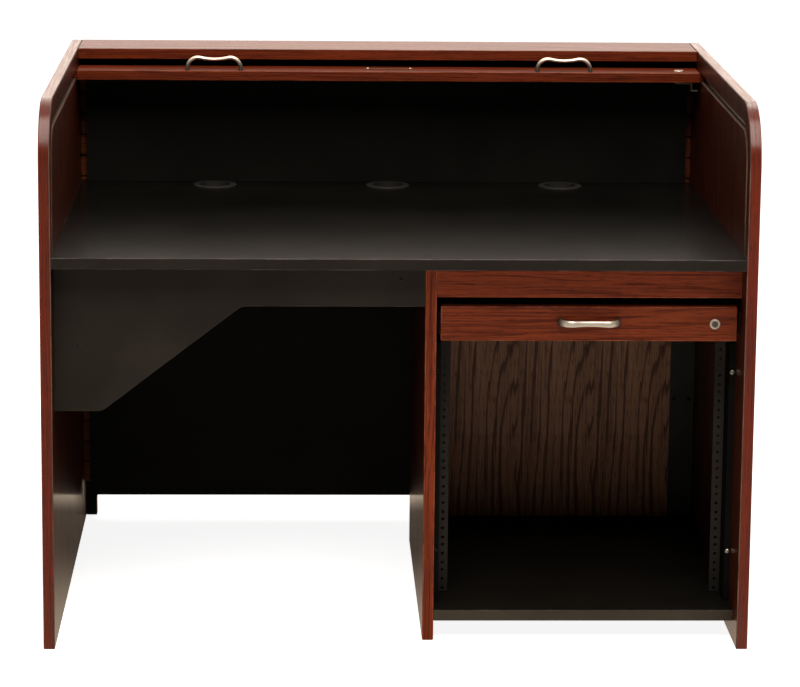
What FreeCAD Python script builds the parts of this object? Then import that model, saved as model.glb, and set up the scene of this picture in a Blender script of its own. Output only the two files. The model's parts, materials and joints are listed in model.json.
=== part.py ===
import FreeCAD, Part
import math
import os
import Sketcher

# Roll-top workstation desk: two side panels carry a worktop, a tambour curtain in routed
# tracks, and on the right a pedestal with a shallow drawer over a 19-inch rack bay.
# Origin at the middle of the floor outline, X to the right, Y to the rear, Z up, millimetres.

DIMENSIONS = {
    # carcass
    "desk_width": 1170.0,
    "desk_depth": 908.0,
    "desk_height": 908.0,
    "panel": 19.0,
    "corner_share": 0.4,
    "top_panel_depth": 138.0,
    "worktop_height": 659.0,
    "worktop_thick": 19.0,
    "worktop_rear_gap": 93.0,
    "cleat_width": 19.0,
    "cleat_height": 34.0,
    # inner and outer backs
    "inner_back_rear_gap": 108.0,
    "inner_back_thick": 12.0,
    "inner_back_side_gap": 13.0,
    "inner_back_top_clear": 2.0,
    "kneehole_back_lift": 62.0,
    "toe_cut_foot": 20.0,
    "toe_cut_height": 88.0,
    "toe_cut_radius": 60.0,
    # pedestal and kneehole
    "front_setback": 53.0,
    "bay_width": 503.0,
    "pedestal_rear_gap": 210.0,
    "bay_floor_lift": 34.0,
    "apron_drop": 54.0,
    "kneehole_apron_drop": 70.0,
    "brace_drop": 247.0,
    "brace_foot": 78.0,
    "brace_reach": 308.0,
    "brace_radius": 24.0,
    # rack rails
    "rack_units": 10.0,
    "rack_pitch": 44.45,
    "rack_hole_step": 15.875,
    "rack_hole_edge": 6.35,
    "rack_hole_span": 465.1,
    "rack_hole_radius": 2.6,
    "rack_rail_span": 482.6,
    "rail_flange": 17.5,
    "rail_leg": 30.0,
    "rail_gauge": 2.0,
    "rail_foot_gap": 1.0,
    "rail_setback": 165.0,
    "rail_spacer_depth": 86.0,
    "spacer_screw_low": 87.0,
    "spacer_screw_high": 396.0,
    # flat strips in the rear corners of the bay
    "strip_width": 44.0,
    "strip_thick": 4.0,
    "strip_gap": 1.0,
    "strip_screw_edge": 9.0,
    "strip_screw_span": 27.0,
    "strip_screw_foot": 32.0,
    "strip_screw_step": 192.0,
    # cable grommets
    "grommet_share": 0.271,
    "grommet_rear_gap": 151.0,
    "grommet_hole_radius": 32.0,
    "grommet_flange_radius": 40.0,
    "grommet_flange_thick": 2.5,
    "grommet_wall": 3.0,
    "grommet_skirt": 6.0,
    "grommet_clear": 0.2,
    # tambour track and curtain
    "track_inset": 40.0,
    "track_width": 14.0,
    "track_depth": 10.0,
    "track_bend_share": 0.25,
    "track_rear_gap": 63.0,
    "track_foot": 40.0,
    "rail_rest_gap": 10.75,
    "rail_depth": 72.0,
    "rail_thick": 18.0,
    "rail_end_clear": 1.0,
    "tongue_length": 8.0,
    "rail_tongue_thick": 13.0,
    "rail_tongue_inset": 4.0,
    "curtain_foot": 65.0,
    "slat_pitch_share": 0.61,
    "slat_joint": 0.6,
    "slat_thick": 10.0,
    "slat_round": 2.5,
    "slat_end_clear": 2.0,
    "slat_tongue_thick": 6.0,
    "slat_tongue_gap": 5.0,
    "canvas_thick": 0.8,
    "canvas_margin": 45.0,
    # bow handles
    "handle_span": 96.0,
    "handle_peak": 22.5,
    "handle_dip": 19.3,
    "handle_shoulder": 19.0,
    "handle_bar": 7.0,
    "handle_width": 10.0,
    "handle_edge": 2.2,
    "handle_inset": 12.0,
    "handle_share": 0.271,
    "screw_radius": 2.0,
    "screw_head_radius": 4.0,
    "screw_head_height": 2.4,
    "screw_bite": 9.0,
    "screw_clear": 0.2,
    # cam locks
    "lock_radius": 7.5,
    "lock_bezel_radius": 8.5,
    "lock_bezel_thick": 1.8,
    "lock_plug_radius": 5.5,
    "lock_clear": 0.05,
    "rail_lock_tail": 2.5,
    "drawer_lock_tail": 6.0,
    "keyway_width": 1.6,
    "keyway_length": 7.0,
    "keyway_depth": 4.0,
    "cam_gauge": 2.5,
    "cam_width": 11.0,
    "rail_lock_edge": 38.0,
    "rail_lock_inset": 27.0,
    "rail_cam_reach": 25.0,
    "rail_cam_drop": 15.5,
    "rail_cam_hook": 11.0,
    "drawer_lock_offset": 208.0,
    "drawer_cam_reach": 51.0,
    # drawer and its ball-bearing slides
    "drawer_face_gap": 14.5,
    "drawer_face_height": 58.5,
    "drawer_face_side_gap": 6.5,
    "drawer_handle_lift": 3.5,
    "drawer_side_thick": 12.0,
    "drawer_side_height": 44.0,
    "drawer_side_lift": 4.0,
    "drawer_box_depth": 450.0,
    "drawer_bottom_thick": 6.0,
    "slide_space": 12.9,
    "slide_length": 440.0,
    "slide_height": 36.0,
    "slide_gauge": 1.2,
    "slide_clear": 0.4,
}

doc = FreeCAD.newDocument("roll_top_desk")
sheet = doc.addObject("Spreadsheet::Sheet", "dims")


class Size:
    """A length that keeps both its number and the sheet formula that gives it."""

    def __init__(self, text, value):
        self.text = text
        self.value = value

    def __add__(self, other):
        return joined(self, "+", other)

    def __radd__(self, other):
        return joined(other, "+", self)

    def __sub__(self, other):
        return joined(self, "-", other)

    def __rsub__(self, other):
        return joined(other, "-", self)

    def __mul__(self, other):
        return joined(self, "*", other)

    def __rmul__(self, other):
        return joined(other, "*", self)

    def __truediv__(self, other):
        return joined(self, "/", other)

    def __neg__(self):
        return joined(0.0, "-", self)


def sized(number):
    """Wrap a plain number as a Size."""
    if isinstance(number, Size):
        return number
    return Size("(%r)" % float(number), float(number))


def joined(left, sign, right):
    """The Size that one arithmetic step on two others gives."""
    left = sized(left)
    right = sized(right)
    value = {
        "+": left.value + right.value,
        "-": left.value - right.value,
        "*": left.value * right.value,
        "/": left.value / right.value if right.value else 0.0,
    }[sign]
    return Size("(%s %s %s)" % (left.text, sign, right.text), value)


def root(size):
    """The square root of a Size."""
    return Size("sqrt(%s)" % size.text, math.sqrt(size.value))


class Dims:
    """The driving dimensions by name."""


dim = Dims()
for row, (alias, number) in enumerate(DIMENSIONS.items(), start=1):
    sheet.set("A%d" % row, alias)
    sheet.set("B%d" % row, str(number))
    sheet.setAlias("B%d" % row, alias)
    setattr(dim, alias, Size("dims." + alias, number))
doc.recompute()

# Planes and edges that several pieces share, all worked out from the sheet.
half_width = dim.desk_width / 2
inner_x = half_width - dim.panel
front_y = -dim.desk_depth / 2
rear_y = dim.desk_depth / 2
worktop_under = dim.worktop_height - dim.worktop_thick
worktop_depth = dim.desk_depth - dim.worktop_rear_gap
pedestal_front = front_y + dim.front_setback
pedestal_rear = rear_y - dim.pedestal_rear_gap
pedestal_depth = pedestal_rear - pedestal_front
bay_width = dim.bay_width
divider_right = inner_x - bay_width
divider_left = divider_right - dim.panel
bay_centre = inner_x - bay_width / 2
bay_floor_top = dim.bay_floor_lift + dim.panel
rail_front = front_y + dim.rail_setback
spacer_front = rail_front + dim.rail_leg - dim.rail_spacer_depth
spacer_thick = (bay_width - dim.rack_rail_span) / 2
strip_front = pedestal_rear - dim.panel - dim.strip_thick
grommet_spread = dim.desk_width * dim.grommet_share
grommet_setback = dim.desk_depth - dim.grommet_rear_gap
inner_back_front = rear_y - dim.inner_back_rear_gap
inner_back_half = inner_x - dim.inner_back_side_gap
roll_space = dim.desk_height - dim.worktop_height
corner_radius = roll_space * dim.corner_share
track_bend = roll_space * dim.track_bend_share
track_z = dim.desk_height - dim.track_inset
track_rear_setback = dim.desk_depth - dim.track_rear_gap
track_rear_y = front_y + track_rear_setback
bend_y = track_rear_y - track_bend
bend_z = track_z - track_bend
slat_pitch = track_bend * dim.slat_pitch_share
slat_tongue_width = slat_pitch - dim.slat_tongue_gap
slat_sag = slat_pitch * slat_pitch / (track_bend * 8)
back_swing = (track_bend - dim.slat_thick / 2 - dim.canvas_thick - slat_sag
              - dim.inner_back_top_clear)
back_lean = inner_back_front + dim.inner_back_thick - bend_y
inner_back_top = bend_z + root(back_swing * back_swing - back_lean * back_lean)
rail_y = bend_y - dim.rail_rest_gap - dim.rail_depth
rail_lock_x = inner_x - dim.rail_lock_edge
handle_spread = dim.desk_width * dim.handle_share
rail_bottom = track_z - dim.rail_thick / 2
rail_top = track_z + dim.rail_thick / 2
drawer_face_top = worktop_under - dim.apron_drop - dim.drawer_face_gap
drawer_face_bottom = drawer_face_top - dim.drawer_face_height
drawer_face_mid = drawer_face_top - dim.drawer_face_height / 2
drawer_handle_z = drawer_face_mid + dim.drawer_handle_lift
drawer_box_front = pedestal_front + dim.panel
drawer_box_half = bay_width / 2 - dim.slide_space
drawer_box_bottom = drawer_face_bottom + dim.drawer_side_lift

pieces = []


def keep(piece):
    """Add a finished sub-part to the list that is written out."""
    pieces.append(piece)
    return piece


def bind(item, prop, size):
    """Drive one property of a document object from the sheet."""
    item.setExpression(prop, sized(size).text)


def place(item, corner):
    """Drive an object's position from the sheet."""
    for axis, size in zip("xyz", corner):
        bind(item, "Placement.Base." + axis, size)


def block(label, corner, size):
    """A plain rectangular board."""
    board = doc.addObject("Part::Box", label)
    for prop, length in zip(("Length", "Width", "Height"), size):
        bind(board, prop, length)
    place(board, corner)
    return board


def rod(label, base, radius, height, turn=None):
    """A plain round bar, upright unless turned."""
    bar = doc.addObject("Part::Cylinder", label)
    if turn:
        bar.Placement.Rotation = turn
    bind(bar, "Radius", radius)
    bind(bar, "Height", height)
    place(bar, base)
    return bar


def fused(label, members):
    """Several solids made one."""
    union = doc.addObject("Part::MultiFuse", label)
    union.Shapes = members
    return union


def cut(label, base, tool):
    """A solid with another taken out of it."""
    result = doc.addObject("Part::Cut", label)
    result.Base = base
    result.Tool = tool
    return result


def made(label, shape):
    """A sub-part whose shape comes from Part's own functions."""
    feature = doc.addObject("Part::Feature", label)
    feature.Shape = shape
    return feature


def new_body(label, corner, turn=None):
    """An empty body placed from the sheet."""
    body = doc.addObject("PartDesign::Body", label)
    if turn:
        body.Placement.Rotation = turn
    place(body, corner)
    return body


def new_sketch(body, plane, lift=None):
    """A sketch on one of the body's origin planes, lifted along its normal if asked."""
    sketch = body.newObject("Sketcher::SketchObject", body.Label + "_sketch")
    support = [f for f in body.Origin.OriginFeatures if f.Role == plane][0]
    sketch.AttachmentSupport = [(support, "")]
    sketch.MapMode = "FlatFace"
    if lift is not None:
        bind(sketch, "AttachmentOffset.Base.z", lift)
    return sketch


def pin_point(sketch, geo, pos, point):
    """Hold one sketch point at a distance from the sketch origin given by the sheet."""
    for kind, axis, size in (("DistanceX", -2, point[0]), ("DistanceY", -1, point[1])):
        size = sized(size)
        if size.value == 0.0:
            sketch.addConstraint(Sketcher.Constraint("PointOnObject", geo, pos, axis))
            continue
        index = sketch.addConstraint(Sketcher.Constraint(kind, -1, 1, geo, pos, size.value))
        sketch.setExpression("Constraints[%d]" % index, size.text)


def polygon(sketch, points):
    """A closed outline of straight lines through points given by the sheet."""
    spots = [FreeCAD.Vector(sized(u).value, sized(v).value, 0) for u, v in points]
    first = None
    for here, there in zip(spots, spots[1:] + spots[:1]):
        geo = sketch.addGeometry(Part.LineSegment(here, there))
        first = geo if first is None else first
    count = len(spots)
    for step in range(count):
        after = first + (step + 1) % count
        sketch.addConstraint(Sketcher.Constraint("Coincident", first + step, 2, after, 1))
        pin_point(sketch, first + step, 1, points[step])


def circle(sketch, centre, radius):
    """A round hole or boss in a sketch."""
    middle = FreeCAD.Vector(sized(centre[0]).value, sized(centre[1]).value, 0)
    ring = Part.Circle(middle, FreeCAD.Vector(0, 0, 1), radius.value)
    geo = sketch.addGeometry(ring)
    index = sketch.addConstraint(Sketcher.Constraint("Radius", geo, radius.value))
    sketch.setExpression("Constraints[%d]" % index, radius.text)
    pin_point(sketch, geo, 3, centre)


def pad(body, sketch, length, backward=False):
    """Extrude a sketch."""
    feature = body.newObject("PartDesign::Pad", body.Label + "_pad")
    feature.Profile = sketch
    bind(feature, "Length", length)
    feature.Reversed = backward
    sketch.Visibility = False
    doc.recompute()
    return feature


def pocket(body, sketch, depth, backward=False):
    """Sink a sketch into the body."""
    feature = body.newObject("PartDesign::Pocket", body.Label + "_pocket")
    feature.Profile = sketch
    bind(feature, "Length", depth)
    feature.Reversed = backward
    doc.recompute()
    return feature


def revolve(body, sketch):
    """Turn a sketch about its upright axis."""
    feature = body.newObject("PartDesign::Revolution", body.Label + "_turned")
    feature.Profile = sketch
    feature.ReferenceAxis = (sketch, ["V_Axis"])
    feature.Angle = 360.0
    doc.recompute()
    return feature


def round_corners(body, radius, axis, spots):
    """Round the edges that run along one axis through the given spots of the body."""
    base = body.Tip
    names = []
    along = {"x": 0, "y": 1, "z": 2}[axis]
    for index, edge in enumerate(base.Shape.Edges, start=1):
        box = edge.BoundBox
        middle = [box.Center.x, box.Center.y, box.Center.z]
        spans = [box.XLength, box.YLength, box.ZLength]
        across = [k for k in range(3) if k != along]
        if any(spans[k] > 0.01 for k in across):
            continue
        for spot in spots:
            if all(abs(middle[k] - sized(spot[n]).value) < 0.01 for n, k in enumerate(across)):
                names.append("Edge%d" % index)
    feature = body.newObject("PartDesign::Fillet", body.Label + "_round")
    feature.Base = (base, names)
    bind(feature, "Radius", radius)
    doc.recompute()
    return feature


def side_panel(label, corner_x, inner_face, backward):
    """A side panel with its rounded front corner and the tambour track routed inside."""
    body = new_body(label, (corner_x, front_y, 0.0))
    outline = new_sketch(body, "YZ_Plane")
    high = dim.desk_height
    deep = dim.desk_depth
    polygon(outline, [(0, 0), (deep, 0), (deep, high), (0, high)])
    pad(body, outline, dim.panel)
    round_corners(body, corner_radius, "x", [(0, high)])
    half = dim.track_width / 2
    near = dim.track_inset - half
    far = dim.track_inset + half
    rear = track_rear_setback
    over = track_z + half
    under = track_z - half
    track = new_sketch(body, "YZ_Plane", inner_face)
    polygon(track, [
        (near, dim.worktop_height),
        (near, over),
        (rear + half, over),
        (rear + half, dim.track_foot),
        (rear - half, dim.track_foot),
        (rear - half, under),
        (far, under),
        (far, dim.worktop_height),
    ])
    pocket(body, track, dim.track_depth, backward)
    round_corners(body, track_bend + half, "x", [(near, over), (rear + half, over)])
    round_corners(body, track_bend - half, "x", [(far, under), (rear - half, under)])
    return keep(body)


def carcass_boards():
    """The plain boards between the side panels."""
    inner_width = 2 * inner_x
    keep(block(
        "top_panel",
        (-inner_x, rear_y - dim.top_panel_depth, dim.desk_height - dim.panel),
        (inner_width, dim.top_panel_depth, dim.panel)))
    keep(block(
        "divider_panel",
        (divider_left, pedestal_front, 0.0),
        (dim.panel, pedestal_depth, worktop_under)))
    keep(block(
        "bay_floor",
        (divider_right, pedestal_front, dim.bay_floor_lift),
        (bay_width, pedestal_depth, dim.panel)))
    keep(block(
        "bay_back_panel",
        (divider_right, pedestal_rear - dim.panel, bay_floor_top),
        (bay_width, dim.panel, worktop_under - bay_floor_top)))
    keep(block(
        "pedestal_apron",
        (divider_right, pedestal_front, worktop_under - dim.apron_drop),
        (bay_width, dim.panel, dim.apron_drop)))
    keep(block(
        "inner_back_panel",
        (-inner_back_half, inner_back_front, dim.worktop_height),
        (2 * inner_back_half, dim.inner_back_thick, inner_back_top - dim.worktop_height)))
    keep(block(
        "kneehole_back_panel",
        (-inner_back_half, inner_back_front, dim.kneehole_back_lift),
        (2 * inner_back_half, dim.inner_back_thick, worktop_under - dim.kneehole_back_lift)))
    cleat_front = pedestal_front + dim.panel
    cleat_length = pedestal_rear - dim.panel - cleat_front
    for label, corner_x in (
            ("worktop_cleat_left", -inner_x),
            ("worktop_cleat_right", inner_x - dim.cleat_width)):
        keep(block(
            label,
            (corner_x, cleat_front, worktop_under - dim.cleat_height),
            (dim.cleat_width, cleat_length, dim.cleat_height)))


def back_panel():
    """The outer back, cut away at the floor between two feet."""
    body = new_body("back_panel", (-inner_x, rear_y - dim.panel, 0.0))
    outline = new_sketch(body, "XZ_Plane")
    wide = 2 * inner_x
    foot = dim.toe_cut_foot
    high = dim.desk_height - dim.panel
    polygon(outline, [
        (0, 0),
        (foot, 0),
        (foot, dim.toe_cut_height),
        (wide - foot, dim.toe_cut_height),
        (wide - foot, 0),
        (wide, 0),
        (wide, high),
        (0, high),
    ])
    pad(body, outline, dim.panel, backward=True)
    round_corners(body, dim.toe_cut_radius, "y", [
        (foot, dim.toe_cut_height),
        (wide - foot, dim.toe_cut_height)])
    return keep(body)


def kneehole_apron():
    """The black apron over the kneehole, deepened to a brace at the left side panel."""
    body = new_body("kneehole_apron", (-inner_x, pedestal_front, 0.0))
    outline = new_sketch(body, "XZ_Plane")
    wide = inner_x + divider_left
    low = worktop_under - dim.brace_drop
    high = worktop_under - dim.kneehole_apron_drop
    corners = [(dim.brace_foot, low), (dim.brace_reach, high)]
    polygon(outline, [
        (0, low),
        corners[0],
        corners[1],
        (wide, high),
        (wide, worktop_under),
        (0, worktop_under),
    ])
    pad(body, outline, dim.panel, backward=True)
    round_corners(body, dim.brace_radius, "y", corners)
    return keep(body)


def worktop():
    """The black laminate worktop with its three cable holes."""
    body = new_body("worktop", (-inner_x, front_y, worktop_under))
    outline = new_sketch(body, "XY_Plane")
    wide = 2 * inner_x
    polygon(outline, [(0, 0), (wide, 0), (wide, worktop_depth), (0, worktop_depth)])
    for side in (-1, 0, 1):
        circle(
            outline,
            (inner_x + side * grommet_spread, grommet_setback),
            dim.grommet_hole_radius)
    pad(body, outline, dim.worktop_thick)
    return keep(body)


def grommet(label, side):
    """A turned plastic cable liner: flange on the worktop, sleeve down through it."""
    body = new_body(
        label,
        (side * grommet_spread, front_y + grommet_setback, dim.worktop_height))
    outline = new_sketch(body, "XZ_Plane")
    sleeve = dim.grommet_hole_radius - dim.grommet_clear
    bore = sleeve - dim.grommet_wall
    low = -(dim.worktop_thick + dim.grommet_skirt)
    lip = dim.grommet_flange_thick
    edge = lip / 2
    polygon(outline, [
        (bore, low),
        (sleeve, low),
        (sleeve, 0),
        (dim.grommet_flange_radius, 0),
        (dim.grommet_flange_radius, edge),
        (dim.grommet_flange_radius - edge, lip),
        (bore, lip),
    ])
    revolve(body, outline)
    return keep(body)


def rack_rail(label, side):
    """A folded steel rack rail: drilled flange to the front, leg along the spacer."""
    rail_half = dim.rack_rail_span / 2
    high = dim.rack_units * dim.rack_pitch
    corner_x = bay_centre + side * rail_half
    body = new_body(label, (corner_x, rail_front, bay_floor_top + dim.rail_foot_gap))
    outline = new_sketch(body, "XY_Plane")
    inward = -side
    gauge = dim.rail_gauge
    polygon(outline, [
        (0, 0),
        (inward * dim.rail_flange, 0),
        (inward * dim.rail_flange, gauge),
        (inward * gauge, gauge),
        (inward * gauge, dim.rail_leg),
        (0, dim.rail_leg),
    ])
    pad(body, outline, high)
    holes = new_sketch(body, "XZ_Plane")
    column = inward * (rail_half - dim.rack_hole_span / 2)
    for step in range(3):
        circle(
            holes,
            (column, dim.rack_hole_edge + step * dim.rack_hole_step),
            dim.rack_hole_radius)
    first = pocket(body, holes, gauge)
    rows = body.newObject("PartDesign::LinearPattern", label + "_rows")
    rows.Originals = [first]
    rows.Direction = (holes, ["V_Axis"])
    body.Tip = rows
    bind(rows, "Length", (dim.rack_units - 1) * dim.rack_pitch)
    bind(rows, "Occurrences", dim.rack_units)
    doc.recompute()
    return keep(body)


def rail_spacer(label, side):
    """The black packing strip that brings a rack rail to standard width."""
    edge = bay_centre + side * bay_width / 2
    corner_x = edge - spacer_thick if side > 0 else edge
    high = dim.rack_units * dim.rack_pitch + dim.rail_foot_gap
    return keep(block(
        label,
        (corner_x, spacer_front, bay_floor_top),
        (spacer_thick, dim.rail_spacer_depth, high)))


def bay_strip(label, side):
    """A flat black strip on the bay's back, in the corner beside a wall."""
    edge = bay_centre + side * (bay_width / 2 - dim.strip_gap)
    corner_x = edge - dim.strip_width if side > 0 else edge
    high = dim.rack_units * dim.rack_pitch
    return keep(block(
        label,
        (corner_x, strip_front, bay_floor_top),
        (dim.strip_width, dim.strip_thick, high)))


def screw_shape(radius, length, head_radius, head_height):
    """A pan-head screw standing on its head, shank up."""
    shank = Part.makeCylinder(radius, length)
    head = Part.makeCone(head_radius * 0.7, head_radius, head_height)
    head.translate(FreeCAD.Vector(0, 0, -head_height))
    return shank.fuse(head).removeSplitter()


def front_heads(label, spots):
    """Pan heads that look to the front, one at each spot."""
    heads = []
    turn = FreeCAD.Rotation(FreeCAD.Vector(0, 0, 1), FreeCAD.Vector(0, -1, 0))
    for spot in spots:
        head = Part.makeCone(
            dim.screw_head_radius.value,
            dim.screw_head_radius.value * 0.7,
            dim.screw_head_height.value)
        head.Placement = FreeCAD.Placement(
            FreeCAD.Vector(*(sized(c).value for c in spot)), turn)
        heads.append(head)
    return keep(made(label, Part.makeCompound(heads)))


def rail_screws():
    """The heads in the front edges of the two spacers."""
    spots = []
    for side in (-1, 1):
        middle = bay_centre + side * (bay_width - spacer_thick) / 2
        for height in (dim.spacer_screw_low, dim.spacer_screw_high):
            spots.append((middle, spacer_front, bay_floor_top + height))
    return front_heads("rail_screws", spots)


def strip_screws():
    """Three pairs of heads on each flat strip."""
    spots = []
    for side in (-1, 1):
        edge = bay_centre + side * (bay_width / 2 - dim.strip_gap - dim.strip_screw_edge)
        for step in (0, 1):
            for row in range(3):
                height = dim.strip_screw_foot + row * dim.strip_screw_step
                spots.append((
                    edge - side * step * dim.strip_screw_span,
                    strip_front,
                    bay_floor_top + height))
    return front_heads("bay_strip_screws", spots)


def track_point(travel):
    """A point of the curtain's inner face line: back along the top, round, then down."""
    radius = track_bend.value - dim.slat_thick.value / 2
    start = rail_y.value + dim.rail_depth.value + dim.slat_joint.value
    flat = max(bend_y.value - start, 0.0)
    turn = radius * math.pi / 2
    if travel <= flat:
        return start + travel, bend_z.value + radius
    if travel <= flat + turn:
        angle = (travel - flat) / radius
        return (bend_y.value + radius * math.sin(angle),
                bend_z.value + radius * math.cos(angle))
    return bend_y.value + radius, bend_z.value - (travel - flat - turn)


def slat_count():
    """How many slats hang between the lead rail's rest place and the curtain's foot."""
    turn = (track_bend - dim.slat_thick / 2).value * math.pi / 2
    length = dim.rail_rest_gap.value + turn + (bend_z - dim.curtain_foot).value
    return int(length / slat_pitch.value)


def chain_links():
    """Ends of the slats' inner faces: chords of one pitch laid along the track."""
    links = []
    travel = 0.0
    here = track_point(travel)
    for _ in range(slat_count()):
        low = travel
        high = travel + 2 * slat_pitch.value
        for _ in range(60):
            middle = (low + high) / 2
            if math.dist(here, track_point(middle)) < slat_pitch.value:
                low = middle
            else:
                high = middle
        travel = (low + high) / 2
        there = track_point(travel)
        links.append((here, there))
        here = there
    return links


def slat_shape():
    """One slat lying flat: inner face on z = 0, leading edge at y = 0, tongues at its ends."""
    width = slat_pitch.value - dim.slat_joint.value
    length = 2 * (inner_x - dim.slat_end_clear).value
    core = Part.makeBox(length, width, dim.slat_thick.value)
    upper = [e for e in core.Edges
             if e.BoundBox.XLength > length / 2 and e.BoundBox.ZMin > dim.slat_thick.value / 2]
    core = core.makeFillet(dim.slat_round.value, upper)
    core.translate(FreeCAD.Vector(-length / 2, dim.slat_joint.value / 2, 0))
    reach = 2 * (inner_x + dim.tongue_length).value
    tongue = Part.makeBox(reach, slat_tongue_width.value, dim.slat_tongue_thick.value)
    tongue.translate(FreeCAD.Vector(
        -reach / 2,
        (slat_pitch.value - slat_tongue_width.value) / 2,
        (dim.slat_thick.value - dim.slat_tongue_thick.value) / 2))
    return core.fuse(tongue).removeSplitter()


def tambour_curtain():
    """The slats, hung in the track as chords, and the canvas glued to their inner faces."""
    slat = slat_shape()
    slats = []
    inner = []
    outer = []
    links = chain_links()
    for here, there in links:
        slope = math.degrees(math.atan2(there[1] - here[1], there[0] - here[0]))
        turn = FreeCAD.Rotation(FreeCAD.Vector(1, 0, 0), slope)
        laid = slat.copy()
        laid.Placement = FreeCAD.Placement(FreeCAD.Vector(0, here[0], here[1]), turn)
        slats.append(laid)
    keep(made("tambour_slats", Part.makeCompound(slats)))
    half = (inner_x - dim.canvas_margin).value
    spots = [links[0][0]] + [there for _, there in links]
    for index, spot in enumerate(spots):
        before = spots[max(index - 1, 0)]
        after = spots[min(index + 1, len(spots) - 1)]
        across = math.atan2(after[1] - before[1], after[0] - before[0]) - math.pi / 2
        bend = 1.0
        if 0 < index < len(spots) - 1:
            one = math.atan2(spot[1] - before[1], spot[0] - before[0])
            two = math.atan2(after[1] - spot[1], after[0] - spot[0])
            across = (one + two) / 2 - math.pi / 2
            bend = math.cos((one - two) / 2)
        lift = dim.canvas_thick.value / bend
        outer.append(FreeCAD.Vector(-half, spot[0], spot[1]))
        inner.append(FreeCAD.Vector(
            -half, spot[0] + lift * math.cos(across), spot[1] + lift * math.sin(across)))
    ring = outer + inner[::-1]
    strip = Part.Face(Part.makePolygon(ring + ring[:1]))
    keep(made("tambour_canvas", strip.extrude(FreeCAD.Vector(2 * half, 0, 0))))


def handle_spots():
    """X offsets of a bow handle's two feet from its middle."""
    return (-dim.handle_span / 2, dim.handle_span / 2)


def bow_path(offset):
    """One edge line of a bow handle from foot to foot, at an offset from the bar's middle line."""
    half = dim.handle_span.value / 2
    shoulder = dim.handle_shoulder.value
    rise = dim.handle_peak.value - shoulder
    run = half - shoulder
    sink = dim.handle_dip.value - rise
    sweep = (run * run + sink * sink - shoulder * shoulder) / (2 * (shoulder - sink))
    centre = dim.handle_dip.value + sweep
    lean = math.atan2(run, centre - rise)
    reach = shoulder + offset
    slant = reach * math.sin(math.pi / 4)
    foot = FreeCAD.Vector(-run - reach, 0, 0)
    ankle = FreeCAD.Vector(-run - reach, 0, rise)
    hip = FreeCAD.Vector(-run - slant, 0, rise + slant)
    knee = FreeCAD.Vector(-run + reach * math.sin(lean), 0, rise + reach * math.cos(lean))
    dip = FreeCAD.Vector(0, 0, centre - sweep + offset)

    def mirrored(point):
        return FreeCAD.Vector(-point.x, 0, point.z)

    edges = [
        Part.makeLine(foot, ankle),
        Part.Arc(ankle, hip, knee).toShape(),
        Part.Arc(knee, dip, mirrored(knee)).toShape(),
        Part.Arc(mirrored(knee), mirrored(hip), mirrored(ankle)).toShape(),
        Part.makeLine(mirrored(ankle), mirrored(foot)),
    ]
    return edges, foot, mirrored(foot)


def bow_handle(label, middle, turn):
    """A bow handle: two feet, rounded shoulders, a shallow dip between them, eased edges."""
    bar = dim.handle_bar.value / 2
    wide = dim.handle_width.value
    outer, outer_left, outer_right = bow_path(bar)
    inner, inner_left, inner_right = bow_path(-bar)
    soles = [Part.makeLine(outer_left, inner_left), Part.makeLine(inner_right, outer_right)]
    outline = Part.Wire(Part.__sortEdges__(outer + inner + soles))
    grip = Part.Face(outline).extrude(FreeCAD.Vector(0, wide, 0))
    grip.translate(FreeCAD.Vector(0, -wide / 2, 0))
    rims = [e for e in grip.Edges
            if e.BoundBox.YLength < 0.01 and e.BoundBox.ZMax > 0.01]
    grip = grip.makeChamfer(dim.handle_edge.value, rims)
    for step in handle_spots():
        hole = Part.makeCylinder(
            dim.screw_radius.value + dim.lock_clear.value,
            dim.screw_bite.value + 1.0,
            FreeCAD.Vector(step.value, 0, 0))
        grip = grip.cut(hole)
    grip.Placement = FreeCAD.Placement(
        FreeCAD.Vector(*(sized(c).value for c in middle)), turn)
    return keep(made(label, grip))


def handle_screws(label, feet, board, turn):
    """Pan-head screws up through a board into a handle's feet, heads on the far face."""
    screws = []
    for spot in feet:
        screw = screw_shape(
            dim.screw_radius.value,
            board.value + dim.screw_bite.value,
            dim.screw_head_radius.value,
            dim.screw_head_height.value)
        screw.Placement = FreeCAD.Placement(
            FreeCAD.Vector(*(sized(c).value for c in spot)), turn)
        screws.append(screw)
    return keep(made(label, Part.makeCompound(screws)))


upright = FreeCAD.Rotation(FreeCAD.Vector(1, 0, 0), 0)
facing_front = FreeCAD.Rotation(FreeCAD.Vector(1, 0, 0), 90)


def lead_rail():
    """The tambour's lead rail with its end tongues, drilled for handles and lock."""
    core_half = inner_x - dim.rail_end_clear
    core = block(
        "lead_rail_core",
        (-core_half, rail_y, rail_bottom),
        (2 * core_half, dim.rail_depth, dim.rail_thick))
    tongue_half = inner_x + dim.tongue_length
    tongue = block(
        "lead_rail_tongue",
        (-tongue_half, rail_y + dim.rail_tongue_inset, track_z - dim.rail_tongue_thick / 2),
        (2 * tongue_half, dim.rail_depth - 2 * dim.rail_tongue_inset, dim.rail_tongue_thick))
    drills = [rod(
        "lead_rail_lock_drill",
        (rail_lock_x, rail_y + dim.rail_lock_inset, rail_bottom),
        dim.lock_radius, dim.rail_thick)]
    for side in (-1, 1):
        for step in handle_spots():
            drills.append(rod(
                "lead_rail_handle_drill",
                (side * handle_spread + step, rail_y + dim.handle_inset, rail_bottom),
                dim.screw_radius + dim.screw_clear, dim.rail_thick))
    return keep(cut(
        "tambour_lead_rail",
        fused("lead_rail_blank", [core, tongue]),
        fused("lead_rail_drills", drills)))


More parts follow.
